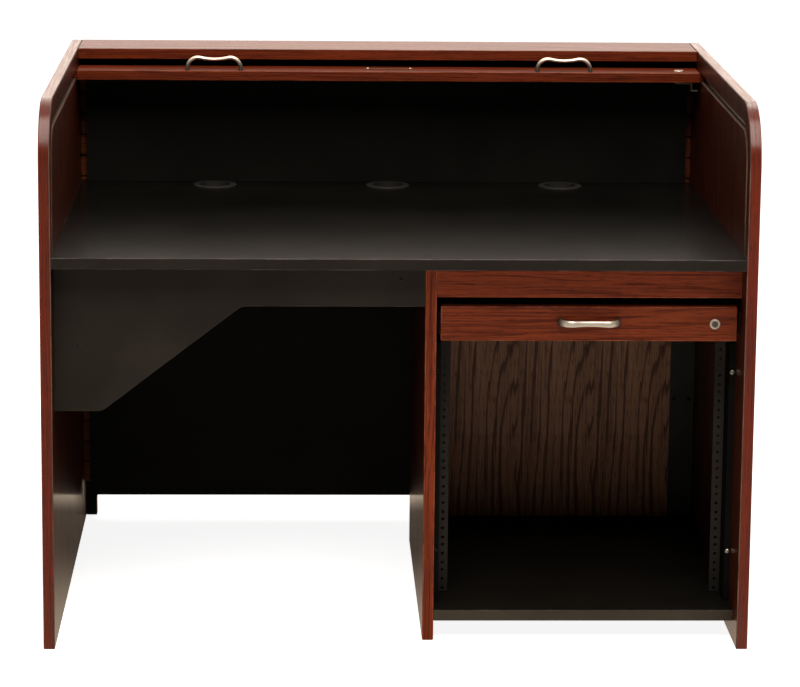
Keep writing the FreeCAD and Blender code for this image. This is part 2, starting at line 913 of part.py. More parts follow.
def lock_barrel(label, spot, board, tail, turn):
    """A lock housing: bezel on the face of the board, sleeve through it."""
    body = new_body(label, spot, turn)
    outline = new_sketch(body, "XZ_Plane")
    bore = dim.lock_plug_radius + dim.lock_clear
    low = -(board + tail)
    polygon(outline, [
        (bore, low),
        (dim.lock_radius, low),
        (dim.lock_radius, 0),
        (dim.lock_bezel_radius, 0),
        (dim.lock_bezel_radius, dim.lock_bezel_thick / 2),
        (dim.lock_bezel_radius - dim.lock_bezel_thick / 2, dim.lock_bezel_thick),
        (bore, dim.lock_bezel_thick),
    ])
    revolve(body, outline)
    return keep(body)


def lock_plug(label, spot, board, tail, turn):
    """The turning core of a lock with its keyway."""
    length = board + tail + dim.lock_bezel_thick
    body = new_body(label, spot, turn)
    outline = new_sketch(body, "XY_Plane", -(board + tail))
    circle(outline, (0, 0), dim.lock_plug_radius)
    pad(body, outline, length)
    keyway = new_sketch(body, "XY_Plane", dim.lock_bezel_thick)
    wide = dim.keyway_width / 2
    long = dim.keyway_length / 2
    polygon(keyway, [(-wide, -long), (wide, -long), (wide, long), (-wide, long)])
    pocket(body, keyway, dim.keyway_depth)
    return keep(body)


def rail_lock_cam():
    """The cranked cam under the lead rail, pointing to the right when unlocked."""
    lowest = rail_bottom - dim.rail_lock_tail
    body = new_body(
        "tambour_lock_cam",
        (rail_lock_x, rail_y + dim.rail_lock_inset + dim.cam_width / 2, lowest))
    outline = new_sketch(body, "XZ_Plane")
    back = -dim.cam_width / 2
    reach = dim.rail_cam_reach
    drop = -dim.rail_cam_drop
    tip = reach + dim.rail_cam_hook
    gauge = dim.cam_gauge
    polygon(outline, [
        (back, 0),
        (back, -gauge),
        (reach - gauge, -gauge),
        (reach - gauge, drop),
        (tip, drop),
        (tip, drop + gauge),
        (reach, drop + gauge),
        (reach, 0),
    ])
    pad(body, outline, dim.cam_width)
    return keep(body)


def drawer_lock_cam():
    """The flat cam behind the drawer front, lying level when unlocked."""
    body = new_body(
        "drawer_lock_cam",
        (bay_centre + dim.drawer_lock_offset,
         drawer_box_front + dim.drawer_lock_tail,
         drawer_face_mid))
    outline = new_sketch(body, "XZ_Plane")
    half = dim.cam_width / 2
    polygon(outline, [
        (half, -half),
        (half, half),
        (-dim.drawer_cam_reach, half),
        (-dim.drawer_cam_reach, -half),
    ])
    pad(body, outline, dim.cam_gauge, backward=True)
    round_corners(body, half * 0.8, "y", [(half, -half), (half, half)])
    return keep(body)


def drawer_front():
    """The drawer front, drilled for its handle and lock."""
    half = bay_width / 2 - dim.drawer_face_side_gap
    body = new_body("drawer_front", (bay_centre, pedestal_front, drawer_face_mid))
    outline = new_sketch(body, "XZ_Plane")
    high = dim.drawer_face_height / 2
    polygon(outline, [(-half, -high), (half, -high), (half, high), (-half, high)])
    for step in handle_spots():
        circle(outline, (step, dim.drawer_handle_lift), dim.screw_radius + dim.screw_clear)
    circle(outline, (dim.drawer_lock_offset, 0), dim.lock_radius)
    pad(body, outline, dim.panel, backward=True)
    return keep(body)


def drawer_box():
    """The shallow drawer box behind the front: two sides, back and bottom."""
    thick = dim.drawer_side_thick
    deep = dim.drawer_box_depth
    high = dim.drawer_side_height
    for label, corner_x in (
            ("drawer_side_left", bay_centre - drawer_box_half),
            ("drawer_side_right", bay_centre + drawer_box_half - thick)):
        keep(block(label, (corner_x, drawer_box_front, drawer_box_bottom), (thick, deep, high)))
    inside = 2 * (drawer_box_half - thick)
    corner_x = bay_centre - drawer_box_half + thick
    floor = dim.drawer_bottom_thick
    keep(block(
        "drawer_back",
        (corner_x, drawer_box_front + deep - thick, drawer_box_bottom + floor),
        (inside, thick, high - floor)))
    keep(block(
        "drawer_bottom",
        (corner_x, drawer_box_front, drawer_box_bottom),
        (inside, deep, floor)))


def slide_member(label, side, web, edge, half_height):
    """One folded member of a drawer slide: a web with two flanges."""
    mid = drawer_box_bottom + dim.drawer_side_height / 2
    wall_x = bay_centre + side * bay_width / 2
    body = new_body(label, (wall_x, drawer_box_front + 2.0, mid))
    outline = new_sketch(body, "XZ_Plane")
    gauge = dim.slide_gauge
    inward = -side
    inner = web + gauge if edge.value > web.value else web - gauge
    low = half_height - gauge
    polygon(outline, [
        (inward * web, -half_height),
        (inward * edge, -half_height),
        (inward * edge, -low),
        (inward * inner, -low),
        (inward * inner, low),
        (inward * edge, low),
        (inward * edge, half_height),
        (inward * web, half_height),
    ])
    pad(body, outline, dim.slide_length, backward=True)
    return keep(body)


def drawer_slides():
    """Full-extension slides: a wall member, a middle member and a drawer member per side."""
    space = dim.slide_space
    gauge = dim.slide_gauge
    half = dim.slide_height / 2
    middle_half = half - gauge - dim.slide_clear
    inner_half = middle_half - gauge - dim.slide_clear
    for side, name in ((-1, "left"), (1, "right")):
        slide_member("slide_outer_" + name, side, sized(0.0), space * 0.8, half)
        slide_member("slide_middle_" + name, side, space * 0.3, space * 0.85, middle_half)
        slide_member("slide_inner_" + name, side, space, space * 0.5, inner_half)


side_panel("left_side_panel", -half_width, dim.panel, False)
side_panel("right_side_panel", inner_x, sized(0.0), True)
carcass_boards()
back_panel()
kneehole_apron()
worktop()
for side, name in ((-1, "left"), (0, "centre"), (1, "right")):
    grommet("grommet_" + name, side)
for side, name in ((-1, "left"), (1, "right")):
    rack_rail("rack_rail_" + name, side)
    rail_spacer("rail_spacer_" + name, side)
    bay_strip("bay_strip_" + name, side)
rail_screws()
strip_screws()

lead_rail()
tambour_curtain()
rail_feet = []
for side, name in ((-1, "left"), (1, "right")):
    middle = (side * handle_spread, rail_y + dim.handle_inset, rail_top)
    bow_handle("tambour_handle_" + name, middle, upright)
    for step in handle_spots():
        rail_feet.append((middle[0] + step, middle[1], rail_bottom))
handle_screws("tambour_handle_screws", rail_feet, dim.rail_thick, upright)
rail_lock = (rail_lock_x, rail_y + dim.rail_lock_inset, rail_top)
lock_barrel("tambour_lock_barrel", rail_lock, dim.rail_thick, dim.rail_lock_tail, upright)
lock_plug("tambour_lock_plug", rail_lock, dim.rail_thick, dim.rail_lock_tail, upright)
rail_lock_cam()

drawer_front()
drawer_box()
drawer_middle = (bay_centre, pedestal_front, drawer_handle_z)
bow_handle("drawer_handle", drawer_middle, facing_front)
drawer_feet = [(bay_centre + step, drawer_box_front, drawer_handle_z) for step in handle_spots()]
handle_screws("drawer_handle_screws", drawer_feet, dim.panel, facing_front)
drawer_lock = (bay_centre + dim.drawer_lock_offset, pedestal_front, drawer_face_mid)
lock_barrel("drawer_lock_barrel", drawer_lock, dim.panel, dim.drawer_lock_tail, facing_front)
lock_plug("drawer_lock_plug", drawer_lock, dim.panel, dim.drawer_lock_tail, facing_front)
drawer_lock_cam()
drawer_slides()

doc.recompute()
for item in doc.Objects:
    if "Invalid" in item.State or "Error" in item.State:
        raise RuntimeError("object did not compute: " + item.Label)
os.makedirs("parts", exist_ok=True)
for piece in pieces:
    shape = piece.Shape
    if shape.isNull() or not shape.isValid():
        raise RuntimeError("bad shape: " + piece.Label)
    shape.exportStep("parts/%s.step" % piece.Label)
    print(piece.Label, len(shape.Solids), round(shape.Volume / 1000.0, 1), "cm3")
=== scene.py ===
# %% [markdown]
# # A roll-top workstation desk
# This lesson dresses a desk whose solids come ready made. Two stained oak sides carry a black
# worktop, a slatted curtain runs in tracks cut into the sides, and on the right a drawer sits over
# a bay with equipment rails. The solids are loaded as a fixed frame in metres: X to the right,
# Y to the back, Z up. Everything made here is placed from that frame, so it always fits.

# %% Load the frame
import bmesh
import bpy
import json
import math
from mathutils import Matrix, Vector


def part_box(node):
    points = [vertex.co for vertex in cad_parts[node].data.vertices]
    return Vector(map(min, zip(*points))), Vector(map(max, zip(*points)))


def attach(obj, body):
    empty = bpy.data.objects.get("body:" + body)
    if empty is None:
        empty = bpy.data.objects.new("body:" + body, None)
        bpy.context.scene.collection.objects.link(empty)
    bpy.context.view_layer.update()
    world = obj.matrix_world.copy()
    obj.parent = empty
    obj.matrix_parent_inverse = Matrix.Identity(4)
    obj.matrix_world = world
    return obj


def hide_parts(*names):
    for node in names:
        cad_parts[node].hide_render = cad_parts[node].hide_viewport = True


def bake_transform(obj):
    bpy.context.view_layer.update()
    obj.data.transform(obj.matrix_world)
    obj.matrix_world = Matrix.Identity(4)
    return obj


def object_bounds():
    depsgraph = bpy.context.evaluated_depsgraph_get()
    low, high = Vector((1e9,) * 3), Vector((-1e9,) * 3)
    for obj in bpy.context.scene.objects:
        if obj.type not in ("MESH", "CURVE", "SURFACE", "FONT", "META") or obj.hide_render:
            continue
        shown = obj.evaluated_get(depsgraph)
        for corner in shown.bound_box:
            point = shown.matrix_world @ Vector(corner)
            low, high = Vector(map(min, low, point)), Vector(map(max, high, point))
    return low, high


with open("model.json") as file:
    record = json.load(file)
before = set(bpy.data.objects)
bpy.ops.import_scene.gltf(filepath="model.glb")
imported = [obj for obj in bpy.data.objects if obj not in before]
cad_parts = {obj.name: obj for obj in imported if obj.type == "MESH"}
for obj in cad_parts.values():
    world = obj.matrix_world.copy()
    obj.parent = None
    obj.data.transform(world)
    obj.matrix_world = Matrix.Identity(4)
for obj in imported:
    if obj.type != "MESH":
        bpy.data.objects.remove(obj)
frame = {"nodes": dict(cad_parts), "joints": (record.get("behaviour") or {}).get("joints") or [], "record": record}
cad_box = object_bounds()
nodes = frame["nodes"]
body_of_node = {
    node: body
    for body, members in frame["record"]["behaviour"]["bodies"].items()
    for node in members
}
scene = bpy.context.scene

# %% [markdown]
# ## The camera
# A product photograph is usually taken from far away with a long lens, so that the edges of the
# furniture stay nearly parallel. The camera could be placed by eye, but here its place, turn and
# focal length were worked out once from corners of the desk that the picture shows. A matrix made
# of the camera's right, up and backward directions then sets its turn without any guessing.

# %% Place the camera
PICTURE_WIDTH = 800
FOCAL_PIXELS = 3439.3
SENSOR_WIDTH = 36.0
CAMERA_PLACE = Vector((-0.1758, -5.9463, 1.6546))
CAMERA_YAW = math.radians(1.845)
CAMERA_DIP = math.radians(11.673)
CAMERA_ROLL = math.radians(0.525)

ahead = Vector((
    math.sin(CAMERA_YAW) * math.cos(CAMERA_DIP),
    math.cos(CAMERA_YAW) * math.cos(CAMERA_DIP),
    -math.sin(CAMERA_DIP),
))
level_right = Vector((math.cos(CAMERA_YAW), -math.sin(CAMERA_YAW), 0.0))
level_up = level_right.cross(ahead)
camera_right = level_right * math.cos(CAMERA_ROLL) + level_up * math.sin(CAMERA_ROLL)
camera_up = level_up * math.cos(CAMERA_ROLL) - level_right * math.sin(CAMERA_ROLL)

camera_data = bpy.data.cameras.new("studio_camera")
camera_data.sensor_fit = "HORIZONTAL"
camera_data.sensor_width = SENSOR_WIDTH
camera_data.lens = FOCAL_PIXELS / PICTURE_WIDTH * SENSOR_WIDTH
camera_data.clip_end = 100.0
camera = bpy.data.objects.new("studio_camera", camera_data)
camera.matrix_world = Matrix((
    (camera_right.x, camera_up.x, -ahead.x, CAMERA_PLACE.x),
    (camera_right.y, camera_up.y, -ahead.y, CAMERA_PLACE.y),
    (camera_right.z, camera_up.z, -ahead.z, CAMERA_PLACE.z),
    (0.0, 0.0, 0.0, 1.0),
))
scene.collection.objects.link(camera)
scene.camera = camera
scene.view_settings.view_transform = "Standard"
print("lens: %.1f mm" % camera_data.lens)

# %% [markdown]
# ## Building shader and geometry trees
# Node trees made in a script get long when every node takes five lines. Two small helpers keep
# them readable: `add` makes a node, sets its options and fills its inputs, and links an input when
# the value given is another node's output. `calc` is the same for one step of arithmetic.

# %% Helpers for node trees
def add(tree, kind, inputs=None, **options):
    """Make a node; an input is linked if its value is a socket, and set otherwise."""
    made = tree.nodes.new(kind)
    for name, value in options.items():
        setattr(made, name, value)
    for key, value in (inputs or {}).items():
        if isinstance(value, bpy.types.NodeSocket):
            tree.links.new(value, made.inputs[key])
        else:
            made.inputs[key].default_value = value
    return made


def calc(tree, operation, *values):
    """One step of arithmetic in a node tree."""
    return add(tree, "ShaderNodeMath", dict(enumerate(values)), operation=operation).outputs[0]


def stretched(tree, vector, factors):
    """A vector multiplied part by part."""
    inputs = {0: vector, 1: factors}
    return add(tree, "ShaderNodeVectorMath", inputs, operation="MULTIPLY").outputs[0]


def noise(tree, vector, factors, detail=2.0, rough=0.5):
    """Noise from 0 to 1; the factors say how often it changes per metre along each axis."""
    inputs = {"Vector": stretched(tree, vector, factors), "Scale": 1.0,
              "Detail": detail, "Roughness": rough}
    return add(tree, "ShaderNodeTexNoise", inputs).outputs[0]


def eased_step(tree, value, low, high, bottom=0.0, top=1.0):
    """A smooth rise from bottom to top while the value goes from low to high."""
    inputs = {"Value": value, 1: low, 2: high, 3: bottom, 4: top}
    return add(tree, "ShaderNodeMapRange", inputs, interpolation_type="SMOOTHSTEP").outputs[0]


def blended(tree, factor, first, second):
    """Mix two colours; a Mix node keeps its colours at inputs 6 and 7 and output 2."""
    inputs = {0: factor, 6: first, 7: second}
    return add(tree, "ShaderNodeMix", inputs, data_type="RGBA").outputs[2]


def new_group(name, inputs, outputs):
    """An empty shader group with named sockets, and its input and output nodes."""
    tree = bpy.data.node_groups.new(name, "ShaderNodeTree")
    for title, kind, value in inputs:
        socket = tree.interface.new_socket(name=title, in_out="INPUT", socket_type=kind)
        if value is not None:
            socket.default_value = value
    for title in outputs:
        tree.interface.new_socket(name=title, in_out="OUTPUT", socket_type="NodeSocketFloat")
    return tree, tree.nodes.new("NodeGroupInput"), tree.nodes.new("NodeGroupOutput")


def new_material(name):
    """A material with only its output and one Principled shader."""
    material = bpy.data.materials.new(name)
    material.use_nodes = True
    tree = material.node_tree
    tree.nodes.clear()
    shader = tree.nodes.new("ShaderNodeBsdfPrincipled")
    output = tree.nodes.new("ShaderNodeOutputMaterial")
    tree.links.new(shader.outputs[0], output.inputs["Surface"])
    return material, tree, shader


print("helpers ready")

# %% [markdown]
# ## Floor, world and lamps
# The desk stands on a white sweep. A white floor could be made by pouring light on it, but that
# would bleach the wood too. Instead the floor adds a plain glow only for what looks straight at it,
# and a normal diffuse part still catches the shadow. In the studio the light comes from above and
# the bright floor throws it back up: the upper part of the bay is lighter than its foot, and the
# apron has no shadow under the worktop's edge. So the floor around the desk also gives off light
# for diffuse rays. Lacquer and metal are drawn by what they mirror, so mirror rays get a studio of
# their own: a little warm, bright above the desk and brightest low behind it, which whitens the
# top boards, and dim in front. The mirrored floor is darkest under the desk, near its back, and
# brightest beyond it, which shows as a pale band at the foot of the panels beside the kneehole.
# One large softbox reaches from over the desk towards the camera, so that the rounded corners
# mirror it as a single broad patch. A weaker one stands behind.

# %% Floor
FLOOR_SPAN = 14.0
PAPER_DARK = (0.83, 0.83, 0.83, 1)
PAPER_LIGHT = (0.86, 0.86, 0.86, 1)
PAPER_GRAIN = (40, 40, 40)
PAPER_ROUGH = 0.9
NEAR_GLOW = 0.90
FAR_GLOW = 1.02
GLOW_RISE = (0.2, 2.2)
FLOOR_BOUNCE = 1.05
UNDER_BOUNCE = 0.32
BOUNCE_RISE = (0.0, 0.30)
FLOOR_MIRRORED = 1.00
UNDER_MIRRORED = 0.13
NEAR_MIRRORED = 0.28
BEYOND_MIRRORED = 3.0
FLOOR_TINT = (1.0, 0.80, 0.60, 1)
half_width = cad_box[1][0]
front, back = cad_box[0][1], cad_box[1][1]
UNDER_FADE = (front, 0.5 * back)
NEAR_FADE = (2.0 * front, front)
BEYOND_FADE = (back, 1.6 * back)

floor_mesh = bpy.data.meshes.new("studio_floor")
floor_mesh.from_pydata(
    [(x * FLOOR_SPAN, y * FLOOR_SPAN, 0.0) for x, y in ((-1, -1), (1, -1), (1, 1), (-1, 1))],
    [], [(0, 1, 2, 3)])
floor = bpy.data.objects.new("studio_floor", floor_mesh)
scene.collection.objects.link(floor)

floor_finish, tree, shader = new_material("studio_paper")
path = add(tree, "ShaderNodeLightPath")
place = add(tree, "ShaderNodeTexCoord").outputs["Object"]
paper = blended(tree, noise(tree, place, PAPER_GRAIN), PAPER_DARK, PAPER_LIGHT)
tree.links.new(paper, shader.inputs["Base Color"])
shader.inputs["Roughness"].default_value = PAPER_ROUGH
shader.inputs["Specular IOR Level"].default_value = 0.0
shader.inputs["Emission Color"].default_value = (1, 1, 1, 1)
folded = add(tree, "ShaderNodeVectorMath", {0: place}, operation="ABSOLUTE")
spread = add(tree, "ShaderNodeSeparateXYZ", {0: folded.outputs[0]})
clear = calc(tree, "MAXIMUM",
             calc(tree, "SUBTRACT", spread.outputs["X"], half_width),
             calc(tree, "SUBTRACT", spread.outputs["Y"], back))
bounce = eased_step(tree, clear, *BOUNCE_RISE, UNDER_BOUNCE, FLOOR_BOUNCE)
bounce = calc(tree, "MULTIPLY", bounce, path.outputs["Is Diffuse Ray"])
white = eased_step(tree, clear, *GLOW_RISE, NEAR_GLOW, FAR_GLOW)
glow = calc(tree, "MULTIPLY_ADD", path.outputs["Is Camera Ray"], white, bounce)
tree.links.new(glow, shader.inputs["Emission Strength"])
along = add(tree, "ShaderNodeSeparateXYZ", {0: place}).outputs["Y"]
under = eased_step(tree, along, *UNDER_FADE, FLOOR_MIRRORED, UNDER_MIRRORED)
near = eased_step(tree, along, *NEAR_FADE, NEAR_MIRRORED, FLOOR_MIRRORED)
beyond = eased_step(tree, along, *BEYOND_FADE, UNDER_MIRRORED, BEYOND_MIRRORED)
mirrored = calc(tree, "MAXIMUM", calc(tree, "MINIMUM", under, near), beyond)
dim = add(tree, "ShaderNodeEmission", {"Color": FLOOR_TINT, "Strength": mirrored})
either = add(tree, "ShaderNodeMixShader", {
    0: path.outputs["Is Glossy Ray"], 1: shader.outputs[0], 2: dim.outputs[0]})
output = next(n for n in tree.nodes if n.type == "OUTPUT_MATERIAL")
tree.links.new(either.outputs[0], output.inputs["Surface"])
floor_mesh.materials.append(floor_finish)
print("floor %.0f m wide" % (2 * FLOOR_SPAN))

# %% World
WORLD_FILL = 0.05
FRONT_MIRRORED = 0.06
HORIZON_MIRRORED = 1.55
UP_SHARE = 0.7
FRONT_TO_BACK = (-0.10, 0.60)
HORIZON = (0.60, 0.88)
WARM_ROOM = (1.0, 0.88, 0.77, 1)

world = bpy.data.worlds.new("studio_world")
world.use_nodes = True
scene.world = world
tree = world.node_tree
tree.nodes.clear()
path = add(tree, "ShaderNodeLightPath")
way = add(tree, "ShaderNodeSeparateXYZ", {0: add(tree, "ShaderNodeTexCoord").outputs["Generated"]})
behind = calc(tree, "MULTIPLY_ADD", way.outputs["Z"], UP_SHARE, way.outputs["Y"])
mirrored = eased_step(tree, behind, *FRONT_TO_BACK, FRONT_MIRRORED, 1.0)
horizon = eased_step(tree, way.outputs["Y"], *HORIZON, 0.0, HORIZON_MIRRORED)
mirrored = calc(tree, "ADD", mirrored, horizon)
mirrored = calc(tree, "MULTIPLY", mirrored, path.outputs["Is Glossy Ray"])
seen = calc(tree, "MAXIMUM", path.outputs["Is Camera Ray"], path.outputs["Is Transmission Ray"])
level = calc(tree, "MAXIMUM", calc(tree, "MAXIMUM", seen, mirrored), WORLD_FILL)
room = blended(tree, path.outputs["Is Glossy Ray"], (1, 1, 1, 1), WARM_ROOM)
sky = add(tree, "ShaderNodeBackground", {"Color": room, "Strength": level})
tree.links.new(sky.outputs[0], tree.nodes.new("ShaderNodeOutputWorld").inputs["Surface"])
print("world fill %.2f" % WORLD_FILL)

# %% Lamps
LAMPS = {
    "overhead_softbox": ((0.15, -3.0, 5.6), (2.8, 5.4), 440.0),
    "rear_softbox": ((0.6, 3.4, 4.4), (2.4, 1.6), 50.0),
}
LAMP_COLOUR = (1.0, 0.94, 0.87)
LAMP_AIM = Vector((0.0, -0.5, 0.45))

for name, (place, size, power) in LAMPS.items():
    lamp_data = bpy.data.lights.new(name, "AREA")
    lamp_data.shape = "RECTANGLE"
    lamp_data.size, lamp_data.size_y = size
    lamp_data.energy = power
    lamp_data.color = LAMP_COLOUR
    lamp = bpy.data.objects.new(name, lamp_data)
    lamp.location = place
    lamp.rotation_euler = (LAMP_AIM - Vector(place)).to_track_quat("-Z", "Y").to_euler()
    scene.collection.objects.link(lamp)
print("lamps:", len(LAMPS))

# %% [markdown]
# ## Oak grain as a shader group
# Oak veneer shows three things: growth rings, cut by the board into lines and arches, fine fibres,
# and short dark pores along the grain. Bands of noise give streaks but no arches. So the group
# treats the board as a slice of a log: it measures each point's distance from the log's heart,
# which leans a little against the board, and repeats a thin dark line at every ring, some bolder
# than others. A slow cloud tells where the stain took well. In the group the grain runs along Z,
# the width of the board along X, and Y goes into the board. So each pattern changes fast along
# X and Y and slowly along Z.

# %% Group: oak grain
DRIFT, DRIFT_REACH = (6.0, 6.0, 1.4), 0.06
FLUTTER = (140.0, 140.0, 7.0)
LATE_WOOD = (0.58, 0.90)
RING_END = (0.92, 1.0)
BOLDNESS, BOLD_RANGE = (70.0, 70.0, 3.0), (0.30, 0.62)
FIBRES, FIBRE_RANGE = (420.0, 420.0, 7.0), (0.34, 0.66)
PORES, PORE_RANGE = (1100.0, 1100.0, 42.0), (0.55, 0.68)
CLOUDS = (16.0, 16.0, 2.2)

grain_tree, grain_in, grain_out = new_group(
    "oak_grain",
    (("Vector", "NodeSocketVector", None),
     ("Ring Gap", "NodeSocketFloat", 0.012),
     ("Heart Lean", "NodeSocketFloat", 0.05),
     ("Heart Depth", "NodeSocketFloat", 0.06)),
    ("Rings", "Fibre", "Pores", "Cloud"))
point = grain_in.outputs["Vector"]
part = add(grain_tree, "ShaderNodeSeparateXYZ", {0: point})
drift = noise(grain_tree, point, DRIFT)
drift = calc(grain_tree, "MULTIPLY_ADD", drift, DRIFT_REACH, -DRIFT_REACH / 2)
across = calc(grain_tree, "ADD", part.outputs[0], drift)
lean = grain_in.outputs["Heart Lean"]
deep = calc(grain_tree, "MULTIPLY_ADD", part.outputs[2], lean, part.outputs[1])
deep = calc(grain_tree, "ADD", deep, grain_in.outputs["Heart Depth"])
squares = [calc(grain_tree, "MULTIPLY", side, side) for side in (across, deep)]
reach = calc(grain_tree, "SQRT", calc(grain_tree, "ADD", *squares))
turns = calc(grain_tree, "DIVIDE", reach, grain_in.outputs["Ring Gap"])
step = calc(grain_tree, "FRACT", calc(
    grain_tree, "ADD", turns, noise(grain_tree, point, FLUTTER)))
late = eased_step(grain_tree, step, *LATE_WOOD)
close = eased_step(grain_tree, step, *RING_END, 1.0, 0.0)
bold = eased_step(grain_tree, noise(grain_tree, point, BOLDNESS), *BOLD_RANGE)
line = calc(grain_tree, "MULTIPLY", calc(grain_tree, "MULTIPLY", late, close), bold)
grain_tree.links.new(line, grain_out.inputs["Rings"])
fibre = noise(grain_tree, point, FIBRES, 3.0, 0.6)
grain_tree.links.new(eased_step(grain_tree, fibre, *FIBRE_RANGE), grain_out.inputs["Fibre"])
speck = noise(grain_tree, point, PORES, 1.0)
grain_tree.links.new(eased_step(grain_tree, speck, *PORE_RANGE), grain_out.inputs["Pores"])
grain_tree.links.new(noise(grain_tree, point, CLOUDS), grain_out.inputs["Cloud"])
print("group:", grain_tree.name)

# %% [markdown]
# ## Rubbed edges and mottle, shared by many finishes
# Handling thins the stain on corners first. Each eased board below carries a face attribute called
# rubbed, which is one on its narrow rounded edges. A group breaks that up with noise, so that the
# wear comes and goes. On the oak and the black laminates the colour there is lighter: partly wear
# and partly a painted highlight along the eased edges. A second group gives a slow mottle and a
# fine stipple, which keep laminate, plastic and steel from looking like one even colour.

# %% Groups: rubbed edge and mottle
RUB_PATCHES, RUB_RANGE = (26.0, 26.0, 26.0), (0.36, 0.66)
MOTTLE_CLOUDS = (7.0, 7.0, 7.0)

rub_tree, rub_in, rub_out = new_group(
    "rubbed_edge",
    (("Vector", "NodeSocketVector", None), ("Edge", "NodeSocketFloat", 0.0)),
    ("Wear",))
patch = noise(rub_tree, rub_in.outputs["Vector"], RUB_PATCHES, 4.0, 0.65)
patch = eased_step(rub_tree, patch, *RUB_RANGE)
wear = calc(rub_tree, "MULTIPLY", patch, rub_in.outputs["Edge"])
rub_tree.links.new(wear, rub_out.inputs["Wear"])

mottle_tree, mottle_in, mottle_out = new_group(
    "surface_mottle",
    (("Vector", "NodeSocketVector", None), ("Stipple Scale", "NodeSocketFloat", 900.0)),
    ("Cloud", "Stipple"))
cloud = noise(mottle_tree, mottle_in.outputs["Vector"], MOTTLE_CLOUDS, 4.0, 0.6)
mottle_tree.links.new(cloud, mottle_out.inputs["Cloud"])
fine = add(mottle_tree, "ShaderNodeTexNoise", {
    "Vector": mottle_in.outputs["Vector"], "Scale": mottle_in.outputs["Stipple Scale"],
    "Detail": 2.0})
mottle_tree.links.new(fine.outputs[0], mottle_out.inputs["Stipple"])
print("groups:", rub_tree.name, mottle_tree.name)

# %% [markdown]
# ## Stained oak
# The veneer is oak under a red mahogany stain with a satin lacquer. The pores take more stain, so
# they are nearly black. The lacquer matters as much as the colour: seen at a low angle the top
# board mirrors the white studio, which is why it looks pale from the front. Each board names which
# way its width, its depth and its grain run, and a Mapping node turns the pattern to suit, so one
# recipe serves upright sides and level rails. The back of the bay is laid from leaves cut one
# after another from the same log, so its arches repeat side by side; wrapping the width does that.

# %% Finish: stained oak
X, Y, Z = Vector((1, 0, 0)), Vector((0, 1, 0)), Vector((0, 0, 1))
STAIN_LIGHT = (0.168, 0.0248, 0.0057)
STAIN_DARK = (0.075, 0.0092, 0.0026)
STAIN_PORE = (0.026, 0.0050, 0.0022, 1)
# Lighter stain on eased edges: partly wear, partly a painted highlight along the edge.
RUBBED_AND_HIGHLIT_STAIN = (0.330, 0.090, 0.038, 1)
WARM_SHEEN = (1.0, 0.85, 0.73, 1)
TONE_RANGE = (0.32, 1.00)
PORE_WEIGHT = 0.62
RUB_AND_HIGHLIGHT_WEIGHT = 0.45
OAK_ROUGH, FIBRE_ROUGH = 0.38, 0.14
OAK_SPECULAR = 0.10
FILM_RANGE, FILM_LEAST, FILM_MOST = (0.38, 0.62), 0.6, 1.4
OAK_BUMP, OAK_RELIEF = 0.25, 0.0003


def board_coordinates(tree, ways, shift):
    """Object coordinates turned so that X is the board's width, Y its depth and Z its grain."""
    place = add(tree, "ShaderNodeTexCoord").outputs["Object"]
    inputs = {"Vector": place, "Rotation": Matrix(ways).to_euler(), "Location": shift}
    return add(tree, "ShaderNodeMapping", inputs).outputs[0]


def add_bump(tree, shader, height, strength, distance):
    """Drive the shader's normal from a height."""
    inputs = {"Height": height, "Strength": strength, "Distance": distance}
    tree.links.new(add(tree, "ShaderNodeBump", inputs).outputs[0], shader.inputs["Normal"])


